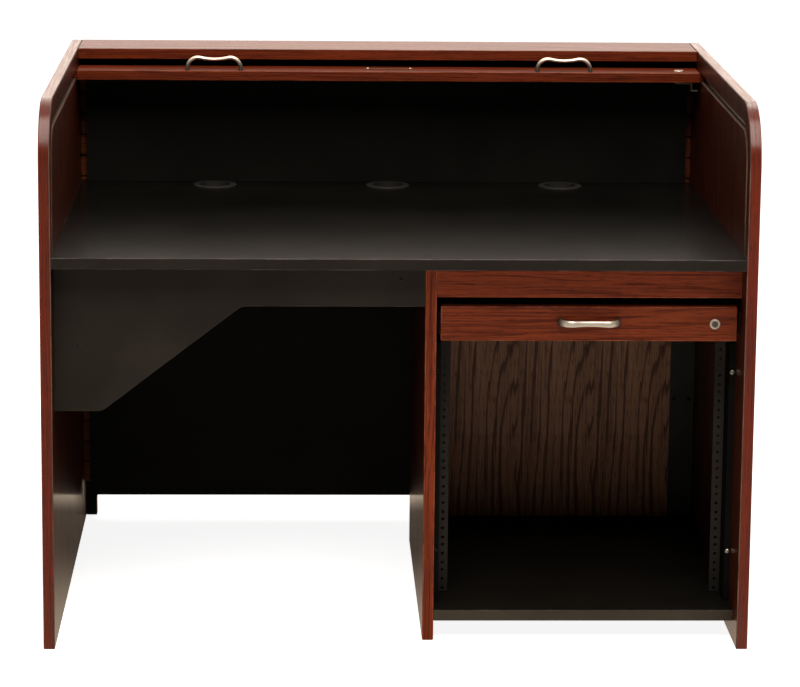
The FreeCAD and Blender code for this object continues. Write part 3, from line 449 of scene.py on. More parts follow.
def oak_finish(name, ways, shift, rings, ring_weight=0.45, fibre_weight=0.52, cloud_weight=0.50,
               light=STAIN_LIGHT, dark=STAIN_DARK, coat=0.10, haze=0.20, index=1.3,
               lipping=False, leaf=None):
    """Oak veneer under stain and satin lacquer; rings are the gap, lean and depth of the heart.

    A lipping's grain follows a panel's edge round. A leaf is the width of one sheet of veneer.
    """
    material, tree, shader = new_material(name)
    spot = board_coordinates(tree, ways, shift)
    if lipping or leaf:
        across, into, along = add(tree, "ShaderNodeSeparateXYZ", {0: spot}).outputs
        if lipping:
            parts = {0: across, 2: calc(tree, "SUBTRACT", along, into)}
        else:
            parts = {0: calc(tree, "WRAP", across, 0.0, -leaf), 1: into, 2: along}
        spot = add(tree, "ShaderNodeCombineXYZ", parts).outputs[0]
    grain = add(tree, "ShaderNodeGroup", {"Vector": spot}, node_tree=grain_tree)
    for title, value in zip(("Ring Gap", "Heart Lean", "Heart Depth"), rings):
        grain.inputs[title].default_value = value
    fibre, pores = grain.outputs["Fibre"], grain.outputs["Pores"]
    tone = calc(tree, "MULTIPLY", grain.outputs["Rings"], ring_weight)
    tone = calc(tree, "MULTIPLY_ADD", fibre, fibre_weight, tone)
    tone = calc(tree, "MULTIPLY_ADD", grain.outputs["Cloud"], cloud_weight, tone)
    colour = blended(tree, eased_step(tree, tone, *TONE_RANGE), (*light, 1), (*dark, 1))
    colour = blended(tree, calc(tree, "MULTIPLY", pores, PORE_WEIGHT), colour, STAIN_PORE)
    edge = add(tree, "ShaderNodeAttribute", attribute_name="rubbed").outputs["Fac"]
    rub = add(tree, "ShaderNodeGroup", {"Vector": spot, "Edge": edge}, node_tree=rub_tree)
    wear = calc(tree, "MULTIPLY", rub.outputs["Wear"], RUB_AND_HIGHLIGHT_WEIGHT)
    colour = blended(tree, wear, colour, RUBBED_AND_HIGHLIT_STAIN)
    seam = add(tree, "ShaderNodeAttribute", attribute_name="seam").outputs["Fac"]
    colour = blended(tree, seam, colour, STAIN_PORE)
    tree.links.new(colour, shader.inputs["Base Color"])
    rough = calc(tree, "MULTIPLY_ADD", fibre, FIBRE_ROUGH, OAK_ROUGH)
    tree.links.new(rough, shader.inputs["Roughness"])
    shader.inputs["Specular IOR Level"].default_value = OAK_SPECULAR
    shader.inputs["Specular Tint"].default_value = WARM_SHEEN
    film = eased_step(tree, fibre, *FILM_RANGE, FILM_LEAST * coat, FILM_MOST * coat)
    tree.links.new(film, shader.inputs["Coat Weight"])
    shader.inputs["Coat Roughness"].default_value = haze
    shader.inputs["Coat IOR"].default_value = index
    height = calc(tree, "MULTIPLY_ADD", pores, -1.0, fibre)
    add_bump(tree, shader, height, OAK_BUMP, OAK_RELIEF)
    return material


print("recipe for oak ready")

# %% [markdown]
# Each oak board gets its own place in the log, so that no two look alike. A row of the table gives
# which way the width, the depth and the grain run, where in the log the board was cut, its rings
# and what differs from the usual recipe. The inner faces look darker and glossier in the picture,
# so they get a darker copy of the stain, which is painted shade, under more lacquer.

# %% The oak boards
UPRIGHT_SIDE, UPRIGHT_FRONT = (Y, -X, Z), (X, Y, Z)
LEVEL_FRONT, LEVEL_TOP = (Z, Y, -X), (Y, Z, X)
LEFT_VENEER = (UPRIGHT_SIDE, (0.31, 0, 0.2), (0.0065, 0.035, 0.20))
RIGHT_VENEER = (UPRIGHT_SIDE, (-0.12, 0, 0.9), (0.0065, -0.03, 0.22))
DIVIDER_VENEER = (UPRIGHT_SIDE, (0.05, 0, 2.1), (0.006, 0.03, 0.18))
# SHADED: a darker copy of the stain for faces inside the desk; the darkness is painted shade.
SHADED = {
    "light": (0.084, 0.0143, 0.0042), "dark": (0.036, 0.0052, 0.0017), "coat": 0.32, "haze": 0.14}
OAK_BOARDS = {
    "side_left": (*LEFT_VENEER, {}),
    "side_right": (*RIGHT_VENEER, {}),
    "shaded_left": (*LEFT_VENEER, SHADED),
    "shaded_right": (*RIGHT_VENEER, SHADED),
    "lipping": (UPRIGHT_FRONT, (0.03, 0, 0.4), (0.0048, 0.004, 0.05), {
        "light": (0.130, 0.0130, 0.0022), "dark": (0.066, 0.0055, 0.0012),
        "ring_weight": 0.40, "coat": 0.50, "haze": 0.25, "index": 1.55, "lipping": True}),
    "divider": (*DIVIDER_VENEER, {}),
    "shaded_divider": (*DIVIDER_VENEER, SHADED),
    "back": (UPRIGHT_FRONT, (0.17, 0, 3.0), (0.0065, 0.05, 0.10), {}),
    # The bay back is browner than the stain, as its veneer looks, and much lighter: that lightness is painted
    # light lifting the shade inside the bay.
    "bay_back": (UPRIGHT_FRONT, (-0.521, -0.225, 0.0), (0.0150, 0.20, -0.026), {
        "light": (0.350, 0.165, 0.087), "dark": (0.118, 0.050, 0.027),
        "ring_weight": 0.85, "fibre_weight": 0.30, "cloud_weight": 0.80, "leaf": 0.140}),
    "level_front": (LEVEL_FRONT, (-0.53, 0, 0.3), (0.0050, 0.02, 0.04), {}),
    "drawer_front": (LEVEL_FRONT, (-0.62, 0, 1.7), (0.0050, 0.02, 0.03), {
        "light": (0.150, 0.0240, 0.0060), "dark": (0.066, 0.0088, 0.0026)}),
    "level_top": (LEVEL_TOP, (-0.2, 0, 0.6), (0.0045, 0.02, 0.05), {
        "ring_weight": 0.40, "coat": 0.13}),
    "slats": (LEVEL_TOP, (0.4, 0, 1.3), (0.005, 0.01, 0.12), {
        "light": (0.235, 0.063, 0.026), "dark": (0.106, 0.024, 0.0098)}),
}
oak = {
    board: oak_finish("stained_oak_" + board, ways, shift, rings, **options)
    for board, (ways, shift, rings, options) in OAK_BOARDS.items()
}
print("oak finishes:", len(oak))

# %% [markdown]
# ## Black laminate
# The worktop, the apron over the kneehole and the inner backs are black laminate with a fine
# pebbled face. Pure black would look like a hole, so the base is a very dark warm grey and the
# look comes from its sheen: the worktop catches a soft glow along its front. The inner backs get a
# flatter version of the same recipe, and the front edges of the worktop and the bay floor a greyer
# edging strip. The drawer slides are coated black as well. The groove in the side panels, where
# the slats' tongues run, is painted a paler greyish brown than the oak: painted light for the lit
# groove. Its floor is painted palest, which lifts the shade under the groove's lip, and its eased
# rims are painted darker, which is painted shade.

# %% Finish: laminate, plastic and painted steel
MOTTLE_SPREAD = 0.35
CLOUD_SHARE = 0.5
EVEN_RANGE = (0.3, 0.7)
STIPPLE_RELIEF = 0.0004


def mottled_finish(name, base, worn, rough, stipple, bump, specular, haze=0.16):
    """An even finish with mottle, stipple and an edge colour that is partly wear, partly painted light."""
    material, tree, shader = new_material(name)
    place = add(tree, "ShaderNodeTexCoord").outputs["Object"]
    mottle = add(tree, "ShaderNodeGroup", {"Vector": place}, node_tree=mottle_tree)
    mottle.inputs["Stipple Scale"].default_value = stipple
    darker = tuple(c * (1 - MOTTLE_SPREAD) for c in base) + (1,)
    lighter = tuple(c * (1 + MOTTLE_SPREAD) for c in base) + (1,)
    tone = calc(tree, "MULTIPLY", mottle.outputs["Cloud"], CLOUD_SHARE)
    tone = calc(tree, "MULTIPLY_ADD", mottle.outputs["Stipple"], 1 - CLOUD_SHARE, tone)
    colour = blended(tree, eased_step(tree, tone, *EVEN_RANGE), darker, lighter)
    edge = add(tree, "ShaderNodeAttribute", attribute_name="rubbed").outputs["Fac"]
    rub = add(tree, "ShaderNodeGroup", {"Vector": place, "Edge": edge}, node_tree=rub_tree)
    colour = blended(tree, rub.outputs["Wear"], colour, (*worn, 1))
    tree.links.new(colour, shader.inputs["Base Color"])
    dull = calc(tree, "MULTIPLY_ADD", mottle.outputs["Cloud"], haze, rough - haze / 2)
    tree.links.new(dull, shader.inputs["Roughness"])
    shader.inputs["Specular IOR Level"].default_value = specular
    shader.inputs["Specular Tint"].default_value = WARM_SHEEN
    add_bump(tree, shader, mottle.outputs["Stipple"], bump, STIPPLE_RELIEF)
    return material


worktop_laminate = mottled_finish(
    "black_laminate_worktop", (0.0040, 0.0037, 0.0031), worn=(0.045, 0.041, 0.036),
    rough=0.25, stipple=1400.0, bump=0.10, specular=0.10, haze=0.03)
worktop_edging = mottled_finish(
    "black_laminate_edging", (0.0110, 0.0096, 0.0074), worn=(0.045, 0.041, 0.036),
    rough=0.50, stipple=1400.0, bump=0.12, specular=0.3)
apron_laminate = mottled_finish(
    "black_laminate_apron", (0.0142, 0.0115, 0.0084), worn=(0.032, 0.028, 0.024),
    rough=0.55, stipple=1400.0, bump=0.15, specular=0.25)
back_laminate = mottled_finish(
    "black_laminate_back", (0.0072, 0.0070, 0.0060), worn=(0.020, 0.020, 0.019),
    rough=0.70, stipple=900.0, bump=0.15, specular=0.05)
spacer_laminate = mottled_finish(
    "black_laminate_spacer", (0.0045, 0.0043, 0.0038), worn=(0.012, 0.012, 0.011),
    rough=0.70, stipple=900.0, bump=0.15, specular=0.05)
bay_floor_laminate = mottled_finish(
    "black_laminate_bay_floor", (0.0050, 0.0046, 0.0036), worn=(0.03, 0.026, 0.022),
    rough=0.6, stipple=900.0, bump=0.15, specular=0.06)
bay_floor_edging = mottled_finish(
    "black_laminate_bay_edging", (0.0325, 0.0262, 0.0182), worn=(0.06, 0.05, 0.042),
    rough=0.5, stipple=900.0, bump=0.15, specular=0.25)
rail_paint = mottled_finish(
    "black_steel_paint", (0.0140, 0.0132, 0.0118), worn=(0.10, 0.10, 0.10),
    rough=0.48, stipple=1500.0, bump=0.30, specular=0.3)
slide_paint = mottled_finish(
    "black_slide_coat", (0.014, 0.014, 0.014), worn=(0.10, 0.10, 0.10),
    rough=0.45, stipple=1500.0, bump=0.20, specular=0.4)
# Painted light: the groove paler than the oak, its floor palest to lift the shade under the lip; its rims darker
# as painted shade.
track_finish = mottled_finish(
    "waxed_track", (0.120, 0.080, 0.060), worn=(0.060, 0.038, 0.029),
    rough=0.70, stipple=500.0, bump=0.10, specular=0.05)
track_floor = mottled_finish(
    "waxed_track_floor", (0.300, 0.205, 0.150), worn=(0.090, 0.055, 0.042),
    rough=0.70, stipple=500.0, bump=0.10, specular=0.05)
strip_paint = mottled_finish(
    "black_strip_paint", (0.0300, 0.0310, 0.0270), worn=(0.06, 0.06, 0.055),
    rough=0.55, stipple=1500.0, bump=0.20, specular=0.2)
grommet_plastic = mottled_finish(
    "black_plastic_moulded", (0.019, 0.018, 0.017), worn=(0.05, 0.05, 0.05),
    rough=0.55, stipple=2200.0, bump=0.25, specular=0.12)
print("even finishes made")

# %% [markdown]
# ## Metals
# The bow handles are cast and plated in satin nickel, warm in the studio light. A satin finish has
# fine lines from brushing, which can be made with noise stretched along one direction. An attribute
# called foot darkens the handles near the board: painted shade for the feet, which turn back into
# the shade by the board. The same recipe gives the plated locks, their darker turning plugs, a
# bronzed plate and the screws.

# %% Finish: metals
PAINTED_FOOT_SHADE = (0.09, 0.07, 0.055, 1)
METAL_CLOUDS = (4, 4, 4)
SPOT_RANGE, SPOT_WEIGHT = (0.52, 0.75), 0.5
BRUSH_ROUGH = 0.12
BRUSH_BUMP, BRUSH_RELIEF = 0.06, 0.0002


def metal_finish(name, base, tarnish, rough, lines, cloud_weight, metallic=1.0):
    """Plated metal with brushing lines, cloudy roughness and darker spots."""
    material, tree, shader = new_material(name)
    place = add(tree, "ShaderNodeTexCoord").outputs["Object"]
    inputs = {"Vector": stretched(tree, place, METAL_CLOUDS)}
    cloud = add(tree, "ShaderNodeGroup", inputs, node_tree=mottle_tree).outputs["Cloud"]
    brush = noise(tree, place, lines, 3.0, 0.7)
    spots = calc(tree, "MULTIPLY", eased_step(tree, cloud, *SPOT_RANGE), SPOT_WEIGHT)
    colour = blended(tree, spots, (*base, 1), (*tarnish, 1))
    # The foot attribute blends in painted shade near a handle's feet.
    foot = add(tree, "ShaderNodeAttribute", attribute_name="foot").outputs["Fac"]
    colour = blended(tree, foot, colour, PAINTED_FOOT_SHADE)
    tree.links.new(colour, shader.inputs["Base Color"])
    shader.inputs["Metallic"].default_value = metallic
    grey = calc(tree, "MULTIPLY_ADD", cloud, cloud_weight, rough - cloud_weight / 2)
    grey = calc(tree, "MULTIPLY_ADD", brush, BRUSH_ROUGH, grey)
    tree.links.new(grey, shader.inputs["Roughness"])
    add_bump(tree, shader, brush, BRUSH_BUMP, BRUSH_RELIEF)
    return material


ALONG_BAR = (120, 2600, 2600)
ROUND_LOCK = (1800, 1800, 900)
ALONG_PLATE = (2400, 90, 900)
EVERY_WAY = (1500, 1500, 1500)
nickel = metal_finish(
    "satin_nickel", (0.82, 0.73, 0.60), tarnish=(0.60, 0.50, 0.38),
    rough=0.34, lines=ALONG_BAR, cloud_weight=0.14, metallic=0.72)
lock_metal = metal_finish(
    "lock_nickel", (0.86, 0.76, 0.66), tarnish=(0.34, 0.29, 0.23),
    rough=0.38, lines=ROUND_LOCK, cloud_weight=0.18, metallic=0.80)
plug_metal = metal_finish(
    "lock_plug_steel", (0.26, 0.225, 0.19), tarnish=(0.12, 0.10, 0.085),
    rough=0.38, lines=ROUND_LOCK, cloud_weight=0.18, metallic=0.90)
cam_metal = metal_finish(
    "lock_cam_steel", (0.40, 0.38, 0.33), tarnish=(0.20, 0.18, 0.15),
    rough=0.42, lines=ROUND_LOCK, cloud_weight=0.18)
plate_metal = metal_finish(
    "plate_bronze", (0.21, 0.085, 0.045), tarnish=(0.10, 0.035, 0.018),
    rough=0.42, lines=ALONG_PLATE, cloud_weight=0.18)
screw_steel = metal_finish(
    "screw_zinc", (0.66, 0.64, 0.60), tarnish=(0.38, 0.37, 0.35),
    rough=0.24, lines=EVERY_WAY, cloud_weight=0.20)
black_screw = metal_finish(
    "screw_black", (0.030, 0.029, 0.028), tarnish=(0.015, 0.014, 0.014),
    rough=0.45, lines=EVERY_WAY, cloud_weight=0.20)
print("metals made")

# %% [markdown]
# ## Drawer wood and canvas
# The drawer box is plain wood under a dark brown stain, which is grain again with other colours.
# The cloth behind the slats is cotton duck: two sets of threads crossing. Two sine waves at right
# angles give the threads, and their product tells which one is on top.

# %% Finish: drawer wood and canvas
BROWN_LIGHT, BROWN_DARK = (0.075, 0.033, 0.019, 1), (0.030, 0.012, 0.008, 1)
BROWN_RING_GAP = 0.02
COTTON_LIGHT, COTTON_DARK = (0.56, 0.50, 0.38, 1), (0.36, 0.31, 0.22, 1)
THREAD_GAP = 0.0012
SLUBS = (60.0, 900.0, 1.0)

drawer_wood, tree, shader = new_material("drawer_brown_wood")
spot = board_coordinates(tree, (X, Z, Y), (0.1, 0.3, 0.0))
grain = add(tree, "ShaderNodeGroup", {"Vector": spot}, node_tree=grain_tree)
grain.inputs["Ring Gap"].default_value = BROWN_RING_GAP
fibre = grain.outputs["Fibre"]
tone = calc(tree, "MULTIPLY", fibre, 0.6)
tone = calc(tree, "MULTIPLY_ADD", grain.outputs["Rings"], 0.5, tone)
tree.links.new(blended(tree, tone, BROWN_LIGHT, BROWN_DARK), shader.inputs["Base Color"])
tree.links.new(calc(tree, "MULTIPLY_ADD", fibre, 0.2, 0.38), shader.inputs["Roughness"])
add_bump(tree, shader, fibre, 0.12, OAK_RELIEF)

canvas_finish, tree, shader = new_material("cotton_duck")
place = add(tree, "ShaderNodeTexCoord").outputs["UV"]
part = add(tree, "ShaderNodeSeparateXYZ", {0: place})
warp, weft = (
    calc(tree, "SINE", calc(tree, "MULTIPLY", part.outputs[k], 2 * math.pi / THREAD_GAP))
    for k in (0, 1))
weave = calc(tree, "MULTIPLY_ADD", calc(tree, "MULTIPLY", warp, weft), 0.5, 0.5)
slub = noise(tree, place, SLUBS, 3.0)
cloth = blended(tree, calc(tree, "MULTIPLY", weave, slub), COTTON_LIGHT, COTTON_DARK)
tree.links.new(cloth, shader.inputs["Base Color"])
tree.links.new(calc(tree, "MULTIPLY_ADD", slub, 0.15, 0.78), shader.inputs["Roughness"])
add_bump(tree, shader, weave, 0.5, 0.0003)
print("drawer wood and canvas made")

# %% [markdown]
# ## Putting finishes on the solids
# Most solids already have the right shape and only need their finish. A loop over a list of name
# beginnings keeps this short. Boards that get eased edges further down are finished there.

# %% Finish the solids
PLAIN_FINISHES = (
    ("worktop_cleat", drawer_wood),
    ("rack_rail", rail_paint),
    ("rail_spacer", spacer_laminate),
    ("bay_strip_left", strip_paint),
    ("bay_strip_right", strip_paint),
    ("grommet", grommet_plastic),
    ("slide_", slide_paint),
    ("drawer_side", drawer_wood),
    ("drawer_back", drawer_wood),
    ("drawer_bottom", drawer_wood),
    ("tambour_lock_barrel", lock_metal),
    ("drawer_lock_barrel", lock_metal),
    ("tambour_lock_plug", plug_metal),
    ("drawer_lock_plug", plug_metal),
    ("tambour_lock_cam", cam_metal),
    ("drawer_lock_cam", plug_metal),
    ("tambour_handle_screws", black_screw),
    ("drawer_handle_screws", black_screw),
)


def dress(piece, finish):
    """Give a piece one finish in place of any it had."""
    piece.data.materials.clear()
    piece.data.materials.append(finish)


dressed = 0
for name, piece in nodes.items():
    for beginning, finish in PLAIN_FINISHES:
        if name.startswith(beginning):
            dress(piece, finish)
            dressed += 1
print("solids finished as they are:", dressed)

# %% [markdown]
# ## Boards with eased edges
# No cabinet board has knife edges: they are sanded round by a millimetre or two, and that thin
# rounded line is what catches the light. A Bevel modifier does it. The loaded mesh is loose
# triangles, so a copy is welded and its flat faces are joined first; then the long sharp edges get
# a bevel weight, and the small drilled holes don't. The faces that the bevel makes are marked in
# the rubbed attribute for the finishes.

# %% Ease the edges of the boards
SHARP = math.radians(40)
SHORTEST_EASED = 0.0025
FLAT = math.radians(0.5)
EASE_STEPS = 3


def as_piece(name, mesh):
    """Put a mesh into the scene as an object at the origin."""
    piece = bpy.data.objects.new(name, mesh)
    scene.collection.objects.link(piece)
    return piece


def shown_mesh(piece, name):
    """What an object's modifiers make of it, as a plain mesh."""
    bpy.context.view_layer.update()
    graph = bpy.context.evaluated_depsgraph_get()
    mesh = bpy.data.meshes.new_from_object(piece.evaluated_get(graph))
    mesh.name = name
    return mesh


def bake(piece):
    """Turn an object's modifiers into plain mesh."""
    mesh = shown_mesh(piece, piece.name)
    piece.modifiers.clear()
    piece.data = mesh


def kept_mesh(work, name):
    """Store edited geometry as a mesh and let the editing copy go."""
    mesh = bpy.data.meshes.new(name)
    work.to_mesh(mesh)
    work.free()
    return mesh


def welded_copy(node):
    """A copy of a solid's mesh with its triangles welded and its flat faces joined."""
    source = nodes[node].data
    work = bmesh.new()
    spots = [work.verts.new(v.co) for v in source.vertices]
    for face in source.polygons:
        work.faces.new([spots[i] for i in face.vertices])
    bmesh.ops.remove_doubles(work, verts=work.verts, dist=1e-6)
    bmesh.ops.dissolve_limit(work, angle_limit=FLAT, verts=work.verts, edges=work.edges)
    return work


def eased_board(node, finish, ease, others=()):
    """Stand in for a solid with a copy whose long edges are round; others finish chosen faces."""
    work = welded_copy(node)
    weight = work.edges.layers.float.new("bevel_weight_edge")
    for edge in work.edges:
        if len(edge.link_faces) == 2 and edge.calc_face_angle() > SHARP:
            edge.smooth = False
            if edge.calc_length() > SHORTEST_EASED:
                edge[weight] = 1.0
                edge.smooth = True
    for face in work.faces:
        face.smooth = True
    mesh = kept_mesh(work, node + "_eased")
    mesh.materials.append(finish)
    mesh.materials.append(finish)  # a second slot, for the faces that the bevel makes
    board = as_piece(node + "_eased", mesh)
    bevel = board.modifiers.new("ease", "BEVEL")
    bevel.limit_method = "WEIGHT"
    bevel.width = ease
    bevel.segments = EASE_STEPS
    bevel.harden_normals = True
    bevel.use_clamp_overlap = False
    bevel.material = 1
    bake(board)
    rubbed = board.data.attributes.new("rubbed", "FLOAT", "FACE")
    for face in board.data.polygons:
        rubbed.data[face.index].value = float(face.material_index)
        face.material_index = 0
    board.data.materials.pop(index=1)
    for slot, (other, chosen) in enumerate(others, 1):
        board.data.materials.append(other)
        for face in board.data.polygons:
            if chosen(face):
                face.material_index = slot
    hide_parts(node)
    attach(board, body_of_node[node])
    return board


EASED_BOARDS = {
    "left_side_panel": (oak["side_left"], 0.0016),
    "right_side_panel": (oak["side_right"], 0.0016),
    "top_panel": (oak["level_top"], 0.0015),
    "divider_panel": (oak["divider"], 0.0020),
    "back_panel": (oak["back"], 0.0015),
    "bay_back_panel": (oak["bay_back"], 0.0010),
    "pedestal_apron": (oak["level_front"], 0.0012),
    "drawer_front": (oak["drawer_front"], 0.0022),
    "tambour_lead_rail": (oak["level_top"], 0.0018),
    "worktop": (worktop_laminate, 0.0014),
    "kneehole_apron": (apron_laminate, 0.0010),
    "inner_back_panel": (back_laminate, 0.0008),
    "kneehole_back_panel": (back_laminate, 0.0008),
    "bay_floor": (bay_floor_laminate, 0.0012),
}


FACING = 0.9
EDGE_ON = 0.3
FACE_SLACK = 0.0002
TRACK_DEPTH = 0.010
TRACK_SLACK = 0.0004
LIPPING_BAND = (0.0085, 0.0105)
inner_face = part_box("right_side_panel")[0].x


def on_front_edge(face):
    """True for a face that looks to the front."""
    return face.normal.y < -FACING


def on_kneehole_face(face):
    """True for a face that looks to the left, as the divider's does in the kneehole."""
    return face.normal.x < -FACING


def in_track(face):
    """True for the groove in a side panel: its walls and its floor."""
    depth = abs(face.center.x) - inner_face
    if abs(face.normal.x) > FACING:
        return abs(depth - TRACK_DEPTH) < TRACK_SLACK
    return FACE_SLACK < depth < LIPPING_BAND[0]


def on_track_floor(face):
    """True for the bottom of the groove."""
    return in_track(face) and abs(face.normal.x) > FACING


def on_inner_face(face):
    """True for the large inner face of a side panel."""
    depth = abs(face.center.x) - inner_face
    return abs(depth) < FACE_SLACK and abs(face.normal.x) > FACING


def on_lipping(face):
    """True for the narrow edge all round a side panel."""
    depth = abs(face.center.x) - inner_face
    return abs(face.normal.x) < EDGE_ON and LIPPING_BAND[0] < depth < LIPPING_BAND[1]


IN_THE_TRACK = ((track_finish, in_track), (track_floor, on_track_floor))
OTHER_FINISHES = {
    "worktop": ((worktop_edging, on_front_edge),),
    "bay_floor": ((bay_floor_edging, on_front_edge),),
    "back_panel": ((back_laminate, on_front_edge),),
    "divider_panel": ((oak["shaded_divider"], on_kneehole_face),),
    "left_side_panel": (
        (oak["shaded_left"], on_inner_face), (oak["lipping"], on_lipping), *IN_THE_TRACK),
    "right_side_panel": (
        (oak["shaded_right"], on_inner_face), (oak["lipping"], on_lipping), *IN_THE_TRACK),
}
for node, (finish, ease) in EASED_BOARDS.items():
    board = eased_board(node, finish, ease, OTHER_FINISHES.get(node, ()))
    print(board.name, len(board.data.polygons), "faces")

# %% [markdown]
# ## The slatted curtain
# A tambour is a row of slats glued to canvas. Their ends are tongues that run in the track. When
# the desk is open, the curtain hangs behind the inner back, over the bend and down. Placing each
# slat by hand would work, but a Geometry Nodes tree does it in one go: walk along a curve in steps
# of one pitch, put a slat at each step and turn it to the curve.

# %% Tree: slats along a path
def new_geometry_tree(name, inputs):
    """A geometry tree with named inputs; gives the tree, its ends and each input's identifier."""
    tree = bpy.data.node_groups.new(name, "GeometryNodeTree")
    tree.interface.new_socket(name="Geometry", in_out="OUTPUT", socket_type="NodeSocketGeometry")
    tree.interface.new_socket(name="Geometry", in_out="INPUT", socket_type="NodeSocketGeometry")
    identifiers = {}
    for title, kind in inputs:
        socket = tree.interface.new_socket(name=title, in_out="INPUT", socket_type=kind)
        identifiers[title] = socket.identifier
    return tree, tree.nodes.new("NodeGroupInput"), tree.nodes.new("NodeGroupOutput"), identifiers


slat_tree, slat_in, slat_out, slat_inputs = new_geometry_tree("slats_along_path", (
    ("Slat", "NodeSocketObject"), ("Pitch", "NodeSocketFloat"), ("Finish", "NodeSocketMaterial")))
steps = add(slat_tree, "GeometryNodeCurveToPoints", {
    "Curve": slat_in.outputs["Geometry"], "Length": slat_in.outputs["Pitch"]}, mode="LENGTH")
turn = add(slat_tree, "FunctionNodeAlignRotationToVector", {
    "Vector": steps.outputs["Tangent"]}, axis="Y", pivot_axis="X")
model = add(slat_tree, "GeometryNodeObjectInfo", {"Object": slat_in.outputs["Slat"]})
laid = add(slat_tree, "GeometryNodeInstanceOnPoints", {
    "Points": steps.outputs["Points"], "Instance": model.outputs["Geometry"],
    "Rotation": turn.outputs["Rotation"]})
real = add(slat_tree, "GeometryNodeRealizeInstances", {"Geometry": laid.outputs[0]})
painted = add(slat_tree, "GeometryNodeSetMaterial", {
    "Geometry": real.outputs[0], "Material": slat_in.outputs["Finish"]})
slat_tree.links.new(painted.outputs[0], slat_out.inputs[0])
print("tree:", slat_tree.name, slat_inputs)

# %% [markdown]
# One slat is a flat bar with its outer edges rounded and a thinner tongue at each end. Its inner
# face lies on the path, its length along X, and it faces up. Stain gathers in the joints, so the
# faces along them are marked in an attribute called seam, which the oak finish darkens. The path
# comes from the solids: a quarter turn, and the long drop behind the inner back.

# %% One slat and the track's path
slat_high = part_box("tambour_slats")[1]
SLAT_THICK = 0.010
SLAT_ROUNDING, SLAT_STEPS = 0.0034, 5
SLAT_PITCH = 0.03797
SLAT_JOINT = 0.0012
TONGUE_LENGTH = 0.010
TONGUE_THICK = 0.006
TONGUE_SETBACK = 0.0025
TONGUE_ROUNDING, TONGUE_STEPS = 0.0015, 2
slat_half = slat_high.x - TONGUE_LENGTH
slat_width = SLAT_PITCH - SLAT_JOINT


def bridge(work, lower, upper):
    """Join two closed loops of points with a band of faces."""
    for k in range(len(lower)):
        nxt = (k + 1) % len(lower)
        work.faces.new((lower[k], lower[nxt], upper[nxt], upper[k]))


def rounded_bar(work, half_length, width, bottom, top, rounding, steps):
    """Add a bar along X whose two upper long edges are rounded."""
    outline = [(-width / 2, bottom), (width / 2, bottom)]
    for side in (1, -1):
        for k in range(steps + 1):
            angle = math.pi / 2 * (k / steps if side > 0 else 1 - k / steps)
            outline.append((
                side * (width / 2 - rounding + rounding * math.cos(angle)),
                top - rounding + rounding * math.sin(angle)))
    near, far = (
        [work.verts.new((x, y, z)) for y, z in outline] for x in (-half_length, half_length))
    bridge(work, far, near)
    work.faces.new(near)
    work.faces.new(far[::-1])


def slat_mesh():
    """A slat with its tongues."""
    work = bmesh.new()
    rounded_bar(work, slat_half, slat_width, 0.0, SLAT_THICK, SLAT_ROUNDING, SLAT_STEPS)
    low = (SLAT_THICK - TONGUE_THICK) / 2
    rounded_bar(work, slat_high.x, slat_width - 2 * TONGUE_SETBACK, low, low + TONGUE_THICK,
                TONGUE_ROUNDING, TONGUE_STEPS)
    bmesh.ops.recalc_face_normals(work, faces=work.faces)
    mesh = kept_mesh(work, "slat_pattern")
    seam = mesh.attributes.new("seam", "FLOAT", "FACE")
    for face in mesh.polygons:
        seam.data[face.index].value = float(abs(face.normal.y) > 0.5)
    return mesh


slat_pattern = as_piece("slat_pattern", slat_mesh())
desk_top = cad_box[1][2]
worktop_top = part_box("worktop")[1].z
bend_radius = 0.25 * (desk_top - worktop_top) - SLAT_THICK / 2
bend_y = slat_high.y - SLAT_THICK - bend_radius
bend_z = slat_high.z - SLAT_THICK - bend_radius
print("slat %.0f mm long, bend radius %.1f mm" % (2000 * slat_high.x, 1000 * bend_radius))

# %% Hang the curtain
SLAT_COUNT = 21
BEND_STEPS = 24


def path_curve(name, points):
    """A poly curve through points."""
    data = bpy.data.curves.new(name, "CURVE")
    data.dimensions = "3D"
    spline = data.splines.new("POLY")
    spline.points.add(len(points) - 1)
    for spot, place in zip(spline.points, points):
        spot.co = (*place, 1.0)
    path = bpy.data.objects.new(name, data)
    scene.collection.objects.link(path)
    return path


def set_tree(piece, tree, identifiers, values):
    """Put a geometry tree on a piece and set the tree's named inputs."""
    tool = piece.modifiers.new(tree.name, "NODES")
    tool.node_group = tree
    for title, value in values.items():
        tool[identifiers[title]] = value


def grown_along(points, tree, identifiers, values, name):
    """Run a tree over a path and keep what it makes as a plain mesh."""
    path = path_curve(name + "_path", points)
    set_tree(path, tree, identifiers, values)
    mesh = shown_mesh(path, name)
    bpy.data.objects.remove(path)
    return as_piece(name, mesh)


def lay_slats(points, pitch, name):
    """Lay stained slats along a path."""
    values = {"Slat": slat_pattern, "Pitch": pitch, "Finish": oak["slats"]}
    return grown_along(points, slat_tree, slat_inputs, values, name)


def hung_path(offset, first=0.0):
    """The curtain's inner face line from an angle on the bend down, moved inwards by an offset."""
    radius = bend_radius - offset
    drop = SLAT_COUNT * SLAT_PITCH - bend_radius * math.pi / 2
    turns = [math.pi / 2 * k / BEND_STEPS for k in range(BEND_STEPS + 1)]
    points = [
        (0.0, bend_y + radius * math.sin(turn), bend_z + radius * math.cos(turn))
        for turn in [first] + [turn for turn in turns if turn > first]
    ]
    return points + [(0.0, bend_y + radius, bend_z - drop)]


half_pitch_turn = SLAT_PITCH / 2 / bend_radius
curtain = lay_slats(hung_path(0.0, half_pitch_turn), SLAT_PITCH, "tambour_slats_hung")
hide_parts("tambour_slats")
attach(curtain, "carcass")
print(curtain.name, len(curtain.data.polygons), "faces,", SLAT_COUNT, "slats")

